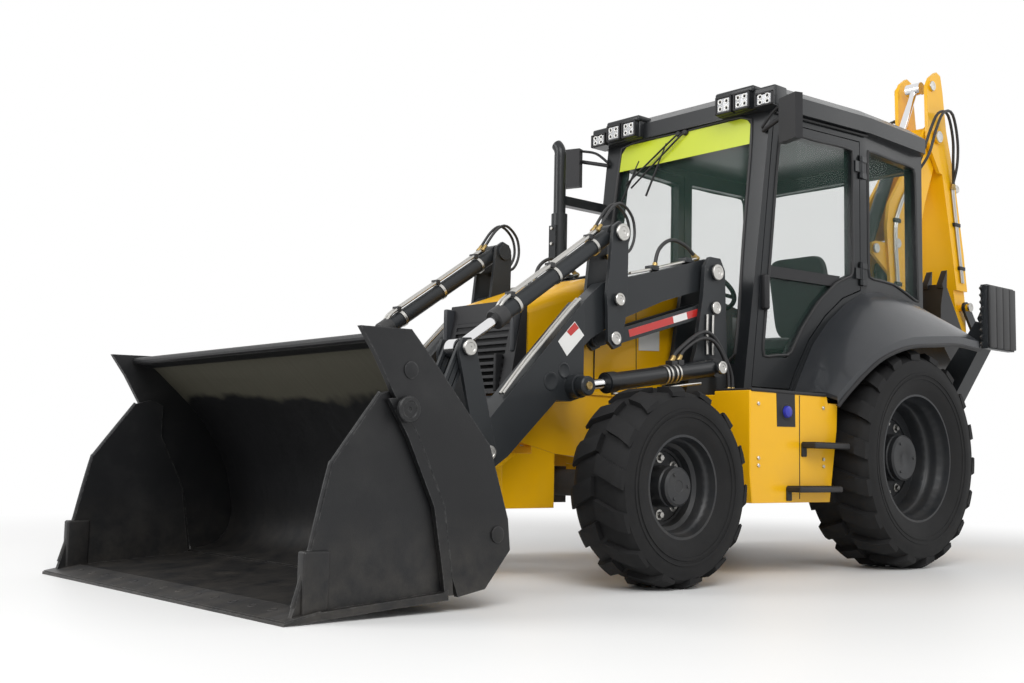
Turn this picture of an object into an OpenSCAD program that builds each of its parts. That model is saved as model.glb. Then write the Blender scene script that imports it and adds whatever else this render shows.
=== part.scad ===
// Backhoe loader: four wheels, cab, front loader with a jaw bucket, rear backhoe and two stabilizers.
// Millimetres, +X forward, +Y left, +Z up, the wheels stand on z = 0.

/* [Wheels] */
// Distance between the axles
wheelbase = 2175; // [2150:5:2250]
// Rear tyre radius out to the lug tips
rear_tyre_r = 660; // [630:5:680]
// Rear tyre width
rear_tyre_w = 440; // [400:5:445]
// Rear rim radius
rear_rim_r = 385; // [340:5:420]
// Front tyre radius out to the lug tips
front_tyre_r = 490; // [460:5:500]
// Front tyre width
front_tyre_w = 345; // [300:5:350]
// Front rim radius
front_rim_r = 254; // [230:2:270]
// Outer face of the tyres, from the middle plane
tyre_out_y = 1100; // [1095:1:1130]

/* [Loader] */
// Middle plane of each loader arm
arm_y = 470; // [465:1:480]
// Width of the loader bucket
bucket_w = 2260; // [2200:10:2400]
// Thickness of the bucket side plates
bucket_side_t = 25; // [20:1:40]
// Radius of the main pins
pin_r = 30; // [24:1:34]
// Radius of the lift cylinder barrels
lift_barrel_r = 48; // [40:1:52]
// Radius of the tilt cylinder barrels
tilt_barrel_r = 42; // [36:1:46]

/* [Body] */
// Half width of the hood
hood_half_w = 340; // [320:2:350]
// Height of the roof
roof_top_z = 2870; // [2840:5:2950]
// Thickness of the cab walls and doors
cab_wall_t = 60; // [45:1:70]
// Thickness of the glass
glass_t = 8; // [5:1:12]

/* [Backhoe] */
// Half width of the boom over its plates
boom_half_w = 105; // [98:1:108]
// Thickness of the boom plates
boom_plate_t = 25; // [18:1:30]
// Width of the backhoe bucket
hoe_bucket_w = 540; // [400:10:560]
// Length of the stabilizer legs from the pivot to the pad
leg_len = 1100; // [1050:5:1110]

/* [Hidden] */
$fn = 48;
gap = 6;
// The rear axle stands this far behind the middle of the whole machine.
front_end_x = 4418;
rear_end_x = -2529;
origin_x = (front_end_x + rear_end_x) / 2;

// Loader pivots in the side view
tower_p = [1316, 1689];
level_off = [8, -205];
crank_p = [2118, 1453];
crank_top = [2093, 1814];
lift_rear = [1399, 1136];
lift_front = [2408, 982];
lever_p = [2994, 637];
lever_top = [3127, 1125];
hinge_p = [3300, 300];
ear_p = [3367, 594];
jaw_p = [3904, 795];
tower_low = tower_p + level_off;
crank_low = crank_p + level_off;

// Side layers measured out from the arm's middle plane
arm_rear_t = 40;
arm_front_t = 60;
strap_in = 46;
strap_out = 62;
crank_in = 68;
crank_out = 88;
link_in = 40;
link_out = 58;
lever_in = 68;
lever_out = 88;
lift_y = arm_y + 148;

// Exhaust stack: place in the plan and radius of its silencer
stack_p = [1394, -647];
stack_r = 52;

// Backhoe pivots in the side view
swing_x = -1370;
foot_p = [-1560, 850];
boom_base = [-1180, 1150];
boom_eye = [-1395, 2270];
dip_p = [-1920, 3175];
dip_base = [-1120, 2200];
dip_eye = [-1850, 3570];
guide_p = [-2299, 1866];
hoe_p = [-2340, 1570];
hoe_joint = [-2484, 1643];
hoe_ear = [-2357, 1371];
hoe_base = [-2300, 2830];

// Stabilizers in the rear view, y and z
leg_p = [475, 645];
leg_ang = 59;
leg_pin = [475 + 270 * cos(59), 645 + 270 * sin(59)];
leg_base = [180, 1450];
leg_x = -950;

// Cab
door_gap = 6;
cab_floor_z = 1010;
cab_top_z = 2700;
cab_front_low = 1150;
cab_front_top = 930;
cab_rear_x = -700;
ridge = [[760, 1010], [690, 1130], [560, 1330], [420, 1480], [260, 1600], [100, 1680], [-100, 1710],
         [-400, 1690], [-700, 1600]];
rear_y = tyre_out_y - rear_tyre_w / 2;
front_y = tyre_out_y - front_tyre_w / 2;
kingpin_y = 690;
// The rim discs sit this far out from the middle of the tyre
front_disc_y = -40;
rear_disc_y = -60;

function off(p, d) = [p[0] + d[0], p[1] + d[1]];
function unit(v) = v / norm(v);
function left(v) = [-v[1], v[0]];
function along(a, b, s) = a + unit(b - a) * s;

module both() { children(); mirror([0, 1, 0]) children(); }
// A side-view outline as a plate between two y values
module plate(pts, y0, y1) { translate([0, y1, 0]) rotate([90, 0, 0]) linear_extrude(y1 - y0) polygon(pts); }
// A cylinder along y
module ycyl(p, r, y0, y1) { translate([p[0], y1, p[1]]) rotate([90, 0, 0]) cylinder(h = y1 - y0, r = r); }
// A round bar in the side view from a to b
module tube(a, b, r, y) {
  d = b - a;
  translate([a[0], y, a[1]]) rotate([0, atan2(d[0], d[1]), 0]) cylinder(h = norm(d), r = r);
}
// A flat bar with round ends and a bore at each end
module strap(a, b, w, hole, y0, y1) {
  n = left(unit(b - a)) * w;
  difference() {
    union() {
      plate([a + n, b + n, b - n, a - n], y0, y1);
      ycyl(a, w, y0, y1);
      ycyl(b, w, y0, y1);
    }
    ycyl(a, hole, y0 - 1, y1 + 1);
    ycyl(b, hole, y0 - 1, y1 + 1);
  }
}
// A pin with a flat head on each end
module pin(p, r, y0, y1, head) {
  ycyl(p, r, y0, y1);
  if (head > 0) { ycyl(p, r * 1.5, y1 - head, y1); ycyl(p, r * 1.5, y0, y0 + head); }
}
// A hydraulic barrel from its eye at a towards b, l long
module barrel(a, b, l, r, eye_r, hole, eye_t, y, rod_r) {
  difference() {
    union() {
      ycyl(a, eye_r, y - eye_t, y + eye_t);
      tube(along(a, b, eye_r * 0.6), along(a, b, l), r, y);
      tube(along(a, b, l - 70), along(a, b, l - 8), r + 7, y);
    }
    if (hole > 0) ycyl(a, hole, y - eye_t - 1, y + eye_t + 1);
    tube(along(a, b, eye_r + 25), along(a, b, l - 40), r - 9, y);
    tube(along(a, b, l - 41), along(a, b, l + 1), rod_r + 0.3, y);
  }
}
// A piston rod from its piston at s0 to the eye at b
module rod(a, b, s0, r, eye_r, hole, eye_t, y) {
  l = norm(b - a);
  difference() {
    union() {
      tube(along(a, b, s0), along(a, b, l - eye_r * 0.6), r, y);
      ycyl(b, eye_r, y - eye_t, y + eye_t);
    }
    if (hole > 0) ycyl(b, hole, y - eye_t - 1, y + eye_t + 1);
  }
}

module main_frame() color([0.93, 0.7, 0.05]) difference() { frame_solid(); ycyl([0, rear_tyre_r], 95, -700, 700); }
module frame_solid() union() {
  both() {
    plate([[-700, 520], [1000, 540], [2330, 640], [2600, 700], [2600, 930], [2330, 960], [1100, 960], [900, 800],
           [-700, 800]], 270, 330);
    // stabilizer brackets and rear box
    for (x = [leg_x - 112, leg_x + 87])
      translate([x, 0, 0]) rotate([90, 0, 90]) linear_extrude(25)
        polygon([[0, 520], [430, 520], [545, 590], [545, 700], [470, 790], [290, 1390], [235, 1500], [130, 1505], [0, 1350]]);
    translate([leg_x - 112, leg_p[0], leg_p[1]]) rotate([0, 90, 0]) cylinder(h = 224, r = pin_r);
    translate([leg_x - 112, leg_base[0], leg_base[1]]) rotate([0, 90, 0]) cylinder(h = 224, r = 22);
    plate([[-1195, 480], [-640, 480], [-640, 800], [-838, 800], [-838, 560], [-1062, 560], [-1062, 1000],
           [-1195, 1000]], 0, 270);
    plate([[-720, 560], [-640, 560], [-640, 800], [-720, 800]], 265, 275);
  }
  // cab mounts
  both() for (x = [-600, 700]) translate([x, 300, 790]) cylinder(h = cab_floor_z - 790, r = 45);
  // cross members
  plate([[1330, 640], [1430, 640], [1430, 740], [1330, 740]], -280, 280);
  plate([[2050, 640], [2330, 640], [2330, 735], [2050, 735]], -280, 280);
  plate([[2075, 575], [2275, 575], [2275, 650], [2075, 650]], -150, 150);
  // king post ears
  for (z = [600, 900]) difference() {
    translate([0, 0, z]) linear_extrude(80) polygon([[-1190, -78], [-1190, 78], [swing_x, 78], [swing_x, -78]]);
    translate([swing_x, 0, z - 1]) cylinder(h = 82, r = pin_r + 15);
  }
  for (z = [600, 900]) difference() {
    translate([swing_x, 0, z]) cylinder(h = 80, r = 78);
    translate([swing_x, 0, z - 1]) cylinder(h = 82, r = pin_r + 15);
  }
}

module loader_towers() color([0.2, 0.21, 0.23]) both() {
    difference() {
      union() {
        for (s = [[crank_in, crank_out + 6], [-crank_out - 6, -crank_in]])
          plate([[1170, 650], [1640, 650], [1600, 900], [1480, 1240], [1420, 1560], [1404, 1720], [1360, 1775],
                 [1270, 1775], [1228, 1710], [1210, 1300]], arm_y + s[0], arm_y + s[1]);
        plate([[1190, 660], [1620, 660], [1540, 960], [1240, 960]], 330, arm_y + crank_out);
        pin(tower_p, pin_r, arm_y - crank_out - 22, arm_y + crank_out + 22, 14);
        pin(tower_low, 22, arm_y - crank_out - 18, arm_y + crank_out + 18, 10);
        ycyl(lift_rear, 26, arm_y + crank_out, lift_y + 60);
        ycyl(lift_rear, 38, lift_y + lift_barrel_r + 4, lift_y + 64);
      }
    }
}

module engine_block() color([0.25, 0.25, 0.27]) union() {
  plate([[1260, 740.3], [2030, 740.3], [2250, 765], [2250, 1250], [2100, 1330], [1260, 1330]], -200, 200);
  plate([[500, 640], [1261, 690], [1261, 900], [500, 900]], -200, 200);
  plate([[150.3, 640], [520, 640], [520, 800], [150.3, 800]], -140, 140);
}

// A hood section across x, a half width and a top height
module hood_slab(x, w, z0, z1, c) {
  translate([x, 0, 0]) rotate([90, 0, 90]) linear_extrude(1)
    polygon([[-w, z0], [w, z0], [w, z1 - c], [w - c * 0.45, z1 - c * 0.35], [w - c, z1], [-w + c, z1],
             [-w + c * 0.45, z1 - c * 0.35], [-w, z1 - c]]);
}
module hood() color([0.96, 0.72, 0.05]) difference() {
  union() {
    hull() { hood_slab(1200, hood_half_w, 960, 1690, 90); hood_slab(2060, hood_half_w, 960, 1600, 90); }
    hull() { hood_slab(2060, hood_half_w, 960, 1600, 90); hood_slab(2519, hood_half_w - 30, 960, 1440, 80); }
  }
  hull() { hood_slab(1190, hood_half_w - 25, 900, 1665, 80); hood_slab(2060, hood_half_w - 25, 900, 1575, 80); }
  hull() { hood_slab(2059, hood_half_w - 25, 900, 1575, 80); hood_slab(2530, hood_half_w - 55, 900, 1415, 70); }
}

module grille() color([0.1, 0.1, 0.11]) difference() {
  plate([[2520, 945], [2520, 1440], [2540, 1440], [2600, 1150], [2640, 945]], -300, 300);
  for (z = [970:36:1340])
    plate([[2560, z], [2700, z], [2700, z + 20], [2560, z + 20]], -220, 220);
}

module front_bumper() color([0.96, 0.72, 0.05]) difference() {
  union() {
    plate([[2335, 360], [2700, 360], [2780, 500], [2760, 540], [2600, 640], [2335, 640]], -330, 330);
    plate([[2335, 500], [2500, 500], [2500, 677], [2335, 640]], -330, 330);
  }
  for (s = [1, -1]) scale([1, s, 1])
    translate([2860, 330, 300]) rotate([0, 0, 45]) cube([230, 230, 900], center = true);
}

module axles() color([0.2, 0.2, 0.22]) union() {
  // front beam
  translate([wheelbase, 0, front_tyre_r]) {
    both() {
      translate([0, 0, 0]) rotate([-90, 0, 0]) cylinder(h = 605, r = 70);
      for (s = [-1, 1]) translate([-60, 590, s * 130 - 20]) cube([120, 100, 40]);
      for (s = [-1, 1]) translate([0, kingpin_y, s * 130 - 20]) cylinder(h = 40, r = 60);
      translate([-55, 560, -150]) cube([110, 60, 300]);
    }
    translate([-100, -150, -110]) cube([200, 300, 195]);
  }
  // rear beam
  translate([0, 0, rear_tyre_r]) both() {
    rotate([-90, 0, 0]) cylinder(h = 640, r = 95);
    rotate([-90, 0, 0]) cylinder(h = 250, r = 150);
    translate([0, 600, 0]) rotate([-90, 0, 0]) cylinder(h = rear_y + rear_disc_y - 600, r = 140);
  }
}

module exhaust_stack() color([0.13, 0.14, 0.15]) translate([stack_p[0], stack_p[1], 0]) union() {
  translate([0, 0, 1590]) cylinder(h = 590, r = stack_r);
  translate([0, 0, 2170]) cylinder(h = 400, r = stack_r * 0.75);
  translate([0, -90, 2569]) rotate([90, 0, 90]) rotate_extrude(angle = 50) translate([90, 0]) circle(r = stack_r * 0.72);
  // pipe and bracket to the cab's front pillar
  translate([1076.5 - stack_p[0], 0, 1650]) rotate([0, 90, 0]) cylinder(h = stack_p[0] - 1076.5, r = stack_r * 0.8);
  translate([992 - stack_p[0], -30, 2240]) cube([stack_p[0] - 992 - 10, 60, 60]);
  translate([stack_r - 6, -30, 1620]) cube([16, 60, 480]);
}

// The cab's outer body drawn in by o on every side
module cab_body(o, z0, z1) {
  intersection() {
    translate([0, 0, z0]) linear_extrude(z1 - z0)
      polygon([[1200, 636 - o], [60, 752 - o], [cab_rear_x + o, 705 - o], [cab_rear_x + o, -705 + o],
               [60, -752 + o], [1200, -636 + o]]);
    plate([[cab_rear_x + o - 1, 900], [cab_front_low - o + 20, 900], [cab_front_top - o - 13, 2800],
           [cab_rear_x + o - 1, 2800]], -800, 800);
  }
}
module cab_skin(o0, o1) {
  difference() { cab_body(o0, cab_floor_z, cab_top_z); cab_body(o1, cab_floor_z - 1, cab_top_z + 1); }
}
arch_pts = concat([[900, 900], [760, 900]], ridge, [[-800, 1570], [-800, 900]]);
function lift_pts(pts, d) = [for (p = pts) [p[0] + d * 0.4, p[1] + d]];
door_top = 2640;
door_rear = 120;
// The door outline grown by g on every side
function door_pts(g) = [[1085 + g, 1050 - g], [900 + g, door_top + g], [door_rear - g, door_top + g],
  [door_rear - g, 1700 - g], [290 - g, 1635 - g], [455 - g, 1510 - g], [600 - g, 1355 - g], [728 - g, 1150 - g],
  [775 - g, 1050 - g]];
function door_win() = [[1000, 1230], [848, 2580], [190, 2580], [190, 1790], [350, 1720], [510, 1590], [650, 1430],
  [770, 1250], [790, 1230]];
side_win = [[30, 1790], [30, 2600], [-600, 2600], [-630, 1700], [-300, 1780]];
module windows_cut() {
  plate(side_win, -900, 900);
  // windscreen and rear window
  translate([700, 0, 0]) rotate([90, 0, 90]) linear_extrude(800)
    polygon([[-560, 1180], [560, 1180], [535, 2600], [-535, 2600]]);
  translate([-900, 0, 0]) rotate([90, 0, 90]) linear_extrude(600)
    polygon([[-610, 1500], [610, 1500], [610, 2600], [-610, 2600]]);
}
// Door hinges: the barrels turn on a pin that the pillar carries
hinge_x = 115;
hinge_y = 753;
hinge_z = [1800, 2480];
hinge_r = 15;
module at_hinges() both() for (z = hinge_z) translate([hinge_x, hinge_y, z]) children();
module hinge_room() at_hinges() translate([0, 0, -76]) cylinder(h = 152, r = hinge_r + 8);
module pillar_hinges() at_hinges() {
  for (z = [-70, 36]) {
    translate([0, 0, z]) cylinder(h = 34, r = hinge_r);
    translate([-62, -14, z]) cube([62, 20, 34]);
  }
  translate([0, 0, -70]) cylinder(h = 140, r = 8);
}
module door_hinges() at_hinges() difference() {
  union() {
    translate([0, 0, -34]) cylinder(h = 68, r = hinge_r);
    translate([0, -16, -34]) cube([64, 20, 68]);
  }
  translate([0, 0, -40]) cylinder(h = 80, r = 8.5);
}
module cab_frame() color([0.16, 0.17, 0.18]) union() { cab_shell(); pillar_hinges(); }
module cab_shell() difference() {
  union() {
    difference() {
      cab_skin(0, cab_wall_t);
      for (s = [[600, 900], [-900, -600]]) plate(arch_pts, s[0], s[1]);
    }
    // floor pan and the inner walls beside the wheels
    plate([[1120, cab_floor_z], [cab_rear_x, cab_floor_z], [cab_rear_x, cab_floor_z + 50],
           [1120, cab_floor_z + 50]], -600, 600);
    both() difference() {
      plate(concat([[770, cab_floor_z]], [for (i = [0:8]) ridge[i]], [[cab_rear_x, cab_floor_z]]), 580, 600);
    }
    both() plate(concat([for (i = [0:8]) ridge[i]], [for (i = [8:-1:0]) ridge[i] + [0, 30]]), 580, 700);
    translate([cab_rear_x, -600, cab_floor_z]) cube([40, 1200, 490]);
  }
  windows_cut();
  plate(door_pts(door_gap), 500, 900);
  plate(door_pts(door_gap), -900, -500);
  hinge_room();
}
module cab_glass() color([0.6, 0.8, 0.7, 0.5]) difference() {
  intersection() { cab_skin(cab_wall_t / 2 - glass_t / 2, cab_wall_t / 2 + glass_t / 2); windows_cut(); }
}
module door() union() {
  difference() {
    intersection() { cab_skin(0, cab_wall_t); plate(door_pts(0), 500, 900); }
    plate(door_win(), 400, 900);
    hinge_room();
  }
  intersection() { door_hinges(); translate([0, 400, 0]) cube([900, 900, 3000]); }
}
module door_glass() intersection() {
  cab_skin(cab_wall_t / 2 - glass_t / 2, cab_wall_t / 2 + glass_t / 2);
  plate(door_win(), 500, 900);
}
module door_left() color([0.16, 0.17, 0.18]) door();
module door_right() color([0.16, 0.17, 0.18]) mirror([0, 1, 0]) door();
module door_left_glass() color([0.6, 0.8, 0.7, 0.5]) door_glass();
module door_right_glass() color([0.6, 0.8, 0.7, 0.5]) mirror([0, 1, 0]) door_glass();

roof_plan = [[960, -600], [890, -720], [60, -795], [-640, -770], [-745, -660], [-745, 660], [-640, 770], [60, 795],
             [890, 720], [960, 600]];
module cab_roof() color([0.15, 0.16, 0.17]) union() {
  translate([0, 0, cab_top_z]) linear_extrude(70) polygon(roof_plan);
  hull() {
    translate([0, 0, cab_top_z + 69]) linear_extrude(30) polygon(roof_plan);
    translate([0, 0, roof_top_z - 2]) linear_extrude(2) polygon([for (p = roof_plan) [p[0] * 0.9 - 10, p[1] * 0.88]]);
  }
  // lamp housings along the front
  both() {
    for (y = [330, 465]) translate([930, y, cab_top_z + 8]) cube([95, 120, 110]);
    translate([880, 612, cab_top_z + 2]) cube([130, 130, 85]);
    translate([-800, 430, cab_top_z + 8]) cube([80, 130, 100]);
  }
}

module mirrors() color([0.1, 0.1, 0.11]) both() {
  translate([960.2, 632, 2572]) rotate([-76, 0, -14]) cylinder(h = 230, r = 13);
  translate([1010, 830, 2445]) rotate([0, 0, -20]) cube([50, 165, 262]);
}

module seat() color([0.12, 0.12, 0.13]) union() {
  translate([-280, -180, cab_floor_z + 50]) cube([360, 360, 280]);
  translate([-320, -250, cab_floor_z + 330]) cube([520, 500, 110]);
  plate([[-320, 1440], [-200, 1440], [-330, 2050], [-430, 2050]], -240, 240);
}
module steering_console() color([0.12, 0.12, 0.13]) union() {
  plate([[760, cab_floor_z + 50], [1000, cab_floor_z + 50], [960, 1560], [800, 1600]], -200, 200);
  translate([790, 0, 1590]) rotate([0, -35, 0]) {
    cylinder(h = 140, r = 30);
    translate([0, 0, 130]) cylinder(h = 20, r = 60);
    translate([0, 0, 140]) rotate_extrude() translate([190, 0]) circle(r = 15);
    for (a = [0, 120, 240]) rotate([0, 0, a]) translate([0, -12, 132]) cube([190, 24, 14]);
  }
}

// The fender is a skin lofted from rows of points across the wheel
fx = [760, 690, 560, 420, 260, 100, -100, -400, -700];
flip_y = [1000, 1030, 1060, 1080, 1095, 1100, 1105, 1105, 1095];
flip_z = [1000, 1085, 1200, 1290, 1350, 1385, 1405, 1430, 1420];
function fender_row(i, t) = concat([[fx[i], 615, ridge[i][1] - t]],
  [for (k = [0:4]) let (u = k / 4, y = 752 + (flip_y[i] - 752) * u,
     z = ridge[i][1] + (flip_z[i] - ridge[i][1]) * u + 24 * sin(180 * u)) [fx[i], y, z - t]],
  [[fx[i], flip_y[i] + 4, flip_z[i] - 60 - t * 0.3]]);
module fender() {
  n = len(fx);
  m = 7;
  pts = concat([for (i = [0:n - 1]) each fender_row(i, 0)], [for (i = [0:n - 1]) each fender_row(i, 24)]);
  q = n * m;
  faces = concat(
    [for (i = [0:n - 2], j = [0:m - 2]) each [[i * m + j, i * m + j + 1, (i + 1) * m + j + 1],
      [i * m + j, (i + 1) * m + j + 1, (i + 1) * m + j]]],
    [for (i = [0:n - 2], j = [0:m - 2]) each [[q + i * m + j, q + (i + 1) * m + j + 1, q + i * m + j + 1],
      [q + i * m + j, q + (i + 1) * m + j, q + (i + 1) * m + j + 1]]],
    [for (i = [0:n - 2]) each [[i * m, (i + 1) * m, q + (i + 1) * m], [i * m, q + (i + 1) * m, q + i * m]]],
    [for (i = [0:n - 2]) each [[i * m + m - 1, q + (i + 1) * m + m - 1, (i + 1) * m + m - 1],
      [i * m + m - 1, q + i * m + m - 1, q + (i + 1) * m + m - 1]]],
    [for (j = [0:m - 2]) each [[j, q + j, q + j + 1], [j, q + j + 1, j + 1]]],
    [for (j = [0:m - 2]) each [[(n - 1) * m + j, q + (n - 1) * m + j + 1, q + (n - 1) * m + j],
      [(n - 1) * m + j, (n - 1) * m + j + 1, q + (n - 1) * m + j + 1]]]);
  polyhedron(points = pts, faces = [for (f = faces) [f[2], f[1], f[0]]]);
}
module rear_fenders() color([0.2, 0.21, 0.22]) both() fender();

module side_boxes() color([0.96, 0.72, 0.05]) both() difference() {
  union() {
    plate([[760, 400], [1480, 400], [1500, 560], [1500, 1000], [790, 1000], [775, 960], [682, 960], [690, 800]], arm_y + crank_out + 6, 950);
    plate([[735, 760], [800, 760], [800, 800], [735, 800]], 700, 950);
    plate([[745, 520], [800, 520], [800, 560], [745, 560]], 700, 950);
  }
  plate([[1180, 980], [1520, 980], [1520, 1010], [1180, 1010]], arm_y + crank_out, lift_y + 90);
}

module knuckle() color([0.2, 0.2, 0.22]) translate([wheelbase, 0, front_tyre_r]) union() {
  translate([0, kingpin_y, -109.7]) cylinder(h = 219.4, r = 55);
  translate([0, kingpin_y, 0]) rotate([-90, 0, 0]) cylinder(h = front_y + front_disc_y - kingpin_y, r = 75);
}
module knuckle_left() knuckle();
module knuckle_right() mirror([0, 1, 0]) knuckle();

// The tyre's section with its tread at radius b
module tyre_ring(r, w, rim, b) {
  h = w / 2;
  rotate([90, 0, 0]) rotate_extrude($fn = 96) polygon([[rim, -h * 0.82], [rim + 0.1 * r, -h * 0.94], [r * 0.8, -h],
    [b * 0.95, -h * 0.96], [b, -h * 0.72], [b, h * 0.72], [b * 0.95, h * 0.96], [r * 0.8, h], [rim + 0.1 * r, h * 0.94],
    [rim, h * 0.82]]);
}
// A bar lug runs from the middle of the tread to the shoulder, bent once
module lug(r, w, h, half, lead) {
  translate([0, 0, r - 2 * h]) linear_extrude(2 * h + 4)
    polygon([[-half, 0.02 * w], [half, 0.02 * w], [lead * 0.5 + half, 0.28 * w], [lead + half, 0.52 * w],
             [lead - half, 0.52 * w], [lead * 0.5 - half, 0.28 * w]]);
}
module tyre_solid(r, w, rim, lugs) {
  lug_h = 0.055 * r;
  pitch = 360 / lugs;
  half = PI * r / lugs * 0.42;
  tyre_ring(r, w, rim, r - lug_h);
  intersection() {
    tyre_ring(r, w, rim, r);
    for (i = [0:lugs - 1]) {
      rotate([0, i * pitch, 0]) lug(r, w, lug_h, half, half * 1.6);
      rotate([0, (i + 0.5) * pitch, 0]) mirror([0, 1, 0]) lug(r, w, lug_h, half, half * 1.6);
    }
  }
}
// A dished rim: the disc sits at face, inboard, and the wall steps out to the flange
module rim_solid(rim, w, face, hub) {
  h = w / 2 * 0.82;
  rotate([-90, 0, 0]) rotate_extrude($fn = 96) polygon([[0, face], [rim - 30, face], [rim - 30, -h], [rim, -h], [rim, h],
    [rim - 12, h], [rim - 20, h * 0.72], [rim - 34, h * 0.62], [rim - 40, h * 0.3], [rim - 58, h * 0.2],
    [rim - 66, face + 24], [hub, face + 24], [hub - 8, face + 130], [hub - 24, face + 146], [0, face + 146]]);
}
module at_wheel(x, y, z) translate([x, y, z]) children();
module front_tyre() at_wheel(wheelbase, front_y, front_tyre_r) tyre_solid(front_tyre_r, front_tyre_w, front_rim_r, 14);
module front_rim() at_wheel(wheelbase, front_y, front_tyre_r) rim_solid(front_rim_r, front_tyre_w, front_disc_y, 88);
module rear_tyre() at_wheel(0, rear_y, rear_tyre_r) tyre_solid(rear_tyre_r, rear_tyre_w, rear_rim_r, 18);
module rear_rim() at_wheel(0, rear_y, rear_tyre_r) rim_solid(rear_rim_r, rear_tyre_w, rear_disc_y, 112);
module front_tyre_left() color([0.08, 0.08, 0.08]) front_tyre();
module front_tyre_right() color([0.08, 0.08, 0.08]) mirror([0, 1, 0]) front_tyre();
module rear_tyre_left() color([0.08, 0.08, 0.08]) rear_tyre();
module rear_tyre_right() color([0.08, 0.08, 0.08]) mirror([0, 1, 0]) rear_tyre();
module front_rim_left() color([0.16, 0.17, 0.18]) front_rim();
module front_rim_right() color([0.16, 0.17, 0.18]) mirror([0, 1, 0]) front_rim();
module rear_rim_left() color([0.16, 0.17, 0.18]) rear_rim();
module rear_rim_right() color([0.16, 0.17, 0.18]) mirror([0, 1, 0]) rear_rim();

module loader_arms() color([0.22, 0.24, 0.25]) union() {
  both() difference() {
    union() {
      plate([[1270, 1620], [1700, 1490], [2060, 1350], [2260, 1240], [2330, 1180], [2330, 1420], [2180, 1540],
             [1720, 1660], [1340, 1770], [1262, 1745], [1238, 1690]], arm_y - arm_rear_t, arm_y + arm_rear_t);
      plate([[2330, 1430], [2330, 1010], [2340, 930], [2420, 905], [2520, 905], [2840, 620], [2960, 545],
             [3236, 262], [3264, 251], [3300, 247], [3334, 261],
             [3346, 292], [3338, 330], [3075, 630], [3010, 750]], arm_y - arm_front_t,
            arm_y + arm_front_t);
      ycyl(lift_front, 60, arm_y + arm_front_t, lift_y - 30);
      ycyl(crank_p, pin_r, arm_y - crank_out - 20, arm_y + crank_out + 20);
      ycyl(lever_p, pin_r, arm_y - lever_out - 20, arm_y + lever_out + 20);
    }
    ycyl(tower_p, pin_r + 0.5, arm_y - 200, arm_y + 200);
    ycyl(hinge_p, pin_r + 0.5, arm_y - 200, arm_y + 200);
  }
  ycyl([2740, 850], 75, -arm_y, arm_y);
}

module levelling_cranks() color([0.22, 0.24, 0.25]) both() {
  for (s = [[crank_in, crank_out], [-crank_out, -crank_in]]) difference() {
    plate([crank_top + [-60, -10], crank_top + [-40, 45], crank_top + [10, 62], crank_top + [56, 30],
           crank_p + [75, 30], crank_p + [70, -60], crank_low + [55, -20], crank_low + [10, -58],
           crank_low + [-45, -35], crank_p + [-80, -40], crank_p + [-80, 40]], arm_y + s[0], arm_y + s[1]);
    ycyl(crank_p, pin_r + 0.5, 0, 900);
  }
  ycyl(crank_low, 22, arm_y - crank_in - 1, arm_y - strap_in + 4);
  ycyl(crank_low, 22, arm_y + strap_in - 4, arm_y + crank_in + 1);
  ycyl(crank_top, 45, arm_y + crank_out - 1, arm_y + crank_out + 14);
  ycyl(crank_top, 45, arm_y - crank_out - 14, arm_y - crank_out + 1);
}
module levelling_links() color([0.6, 0.1, 0.08]) both()
  for (s = [[strap_in, strap_out], [-strap_out, -strap_in]])
    strap(tower_low, crank_low, 38, 22.5, arm_y + s[0], arm_y + s[1]);

module lift_barrels() color([0.12, 0.12, 0.13]) both()
  barrel(lift_rear, lift_front, 880, lift_barrel_r, 52, 26.5, 27, lift_y, 27);
module lift_rods() color([0.8, 0.8, 0.82]) both() {
  rod(lift_rear, lift_front, 135, 27, 44, 0, 24, lift_y);
  ycyl(lift_front, 30, lift_y + 23, lift_y + 28);
}

module tilt_barrels() color([0.2, 0.22, 0.23]) both()
  barrel(crank_top, lever_top, 960, tilt_barrel_r, 50, 30, 34, arm_y, 25);
module tilt_rods() color([0.8, 0.8, 0.82]) both() rod(crank_top, lever_top, 310, 25, 46, 25.5, 34, arm_y);

module tip_levers() color([0.2, 0.21, 0.22]) both() {
  for (s = [[lever_in, lever_out], [-lever_out, -lever_in]]) difference() {
    plate([lever_p + [-62, 0], lever_p + [-30, -58], lever_p + [35, -58], lever_p + [66, 0], lever_top + [52, -20],
           lever_top + [30, 46], lever_top + [-20, 50], lever_top + [-52, 10]], arm_y + s[0], arm_y + s[1]);
    ycyl(lever_p, pin_r + 0.5, 0, 900);
  }
  pin(lever_top, 25, arm_y - lever_out - 16, arm_y + lever_out + 16, 15);
}
module tip_links() color([0.2, 0.21, 0.22]) both()
  for (s = [[link_in, link_out], [-link_out, -link_in]])
    strap(lever_top, ear_p, 36, 25.5, arm_y + s[0], arm_y + s[1]);

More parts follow.
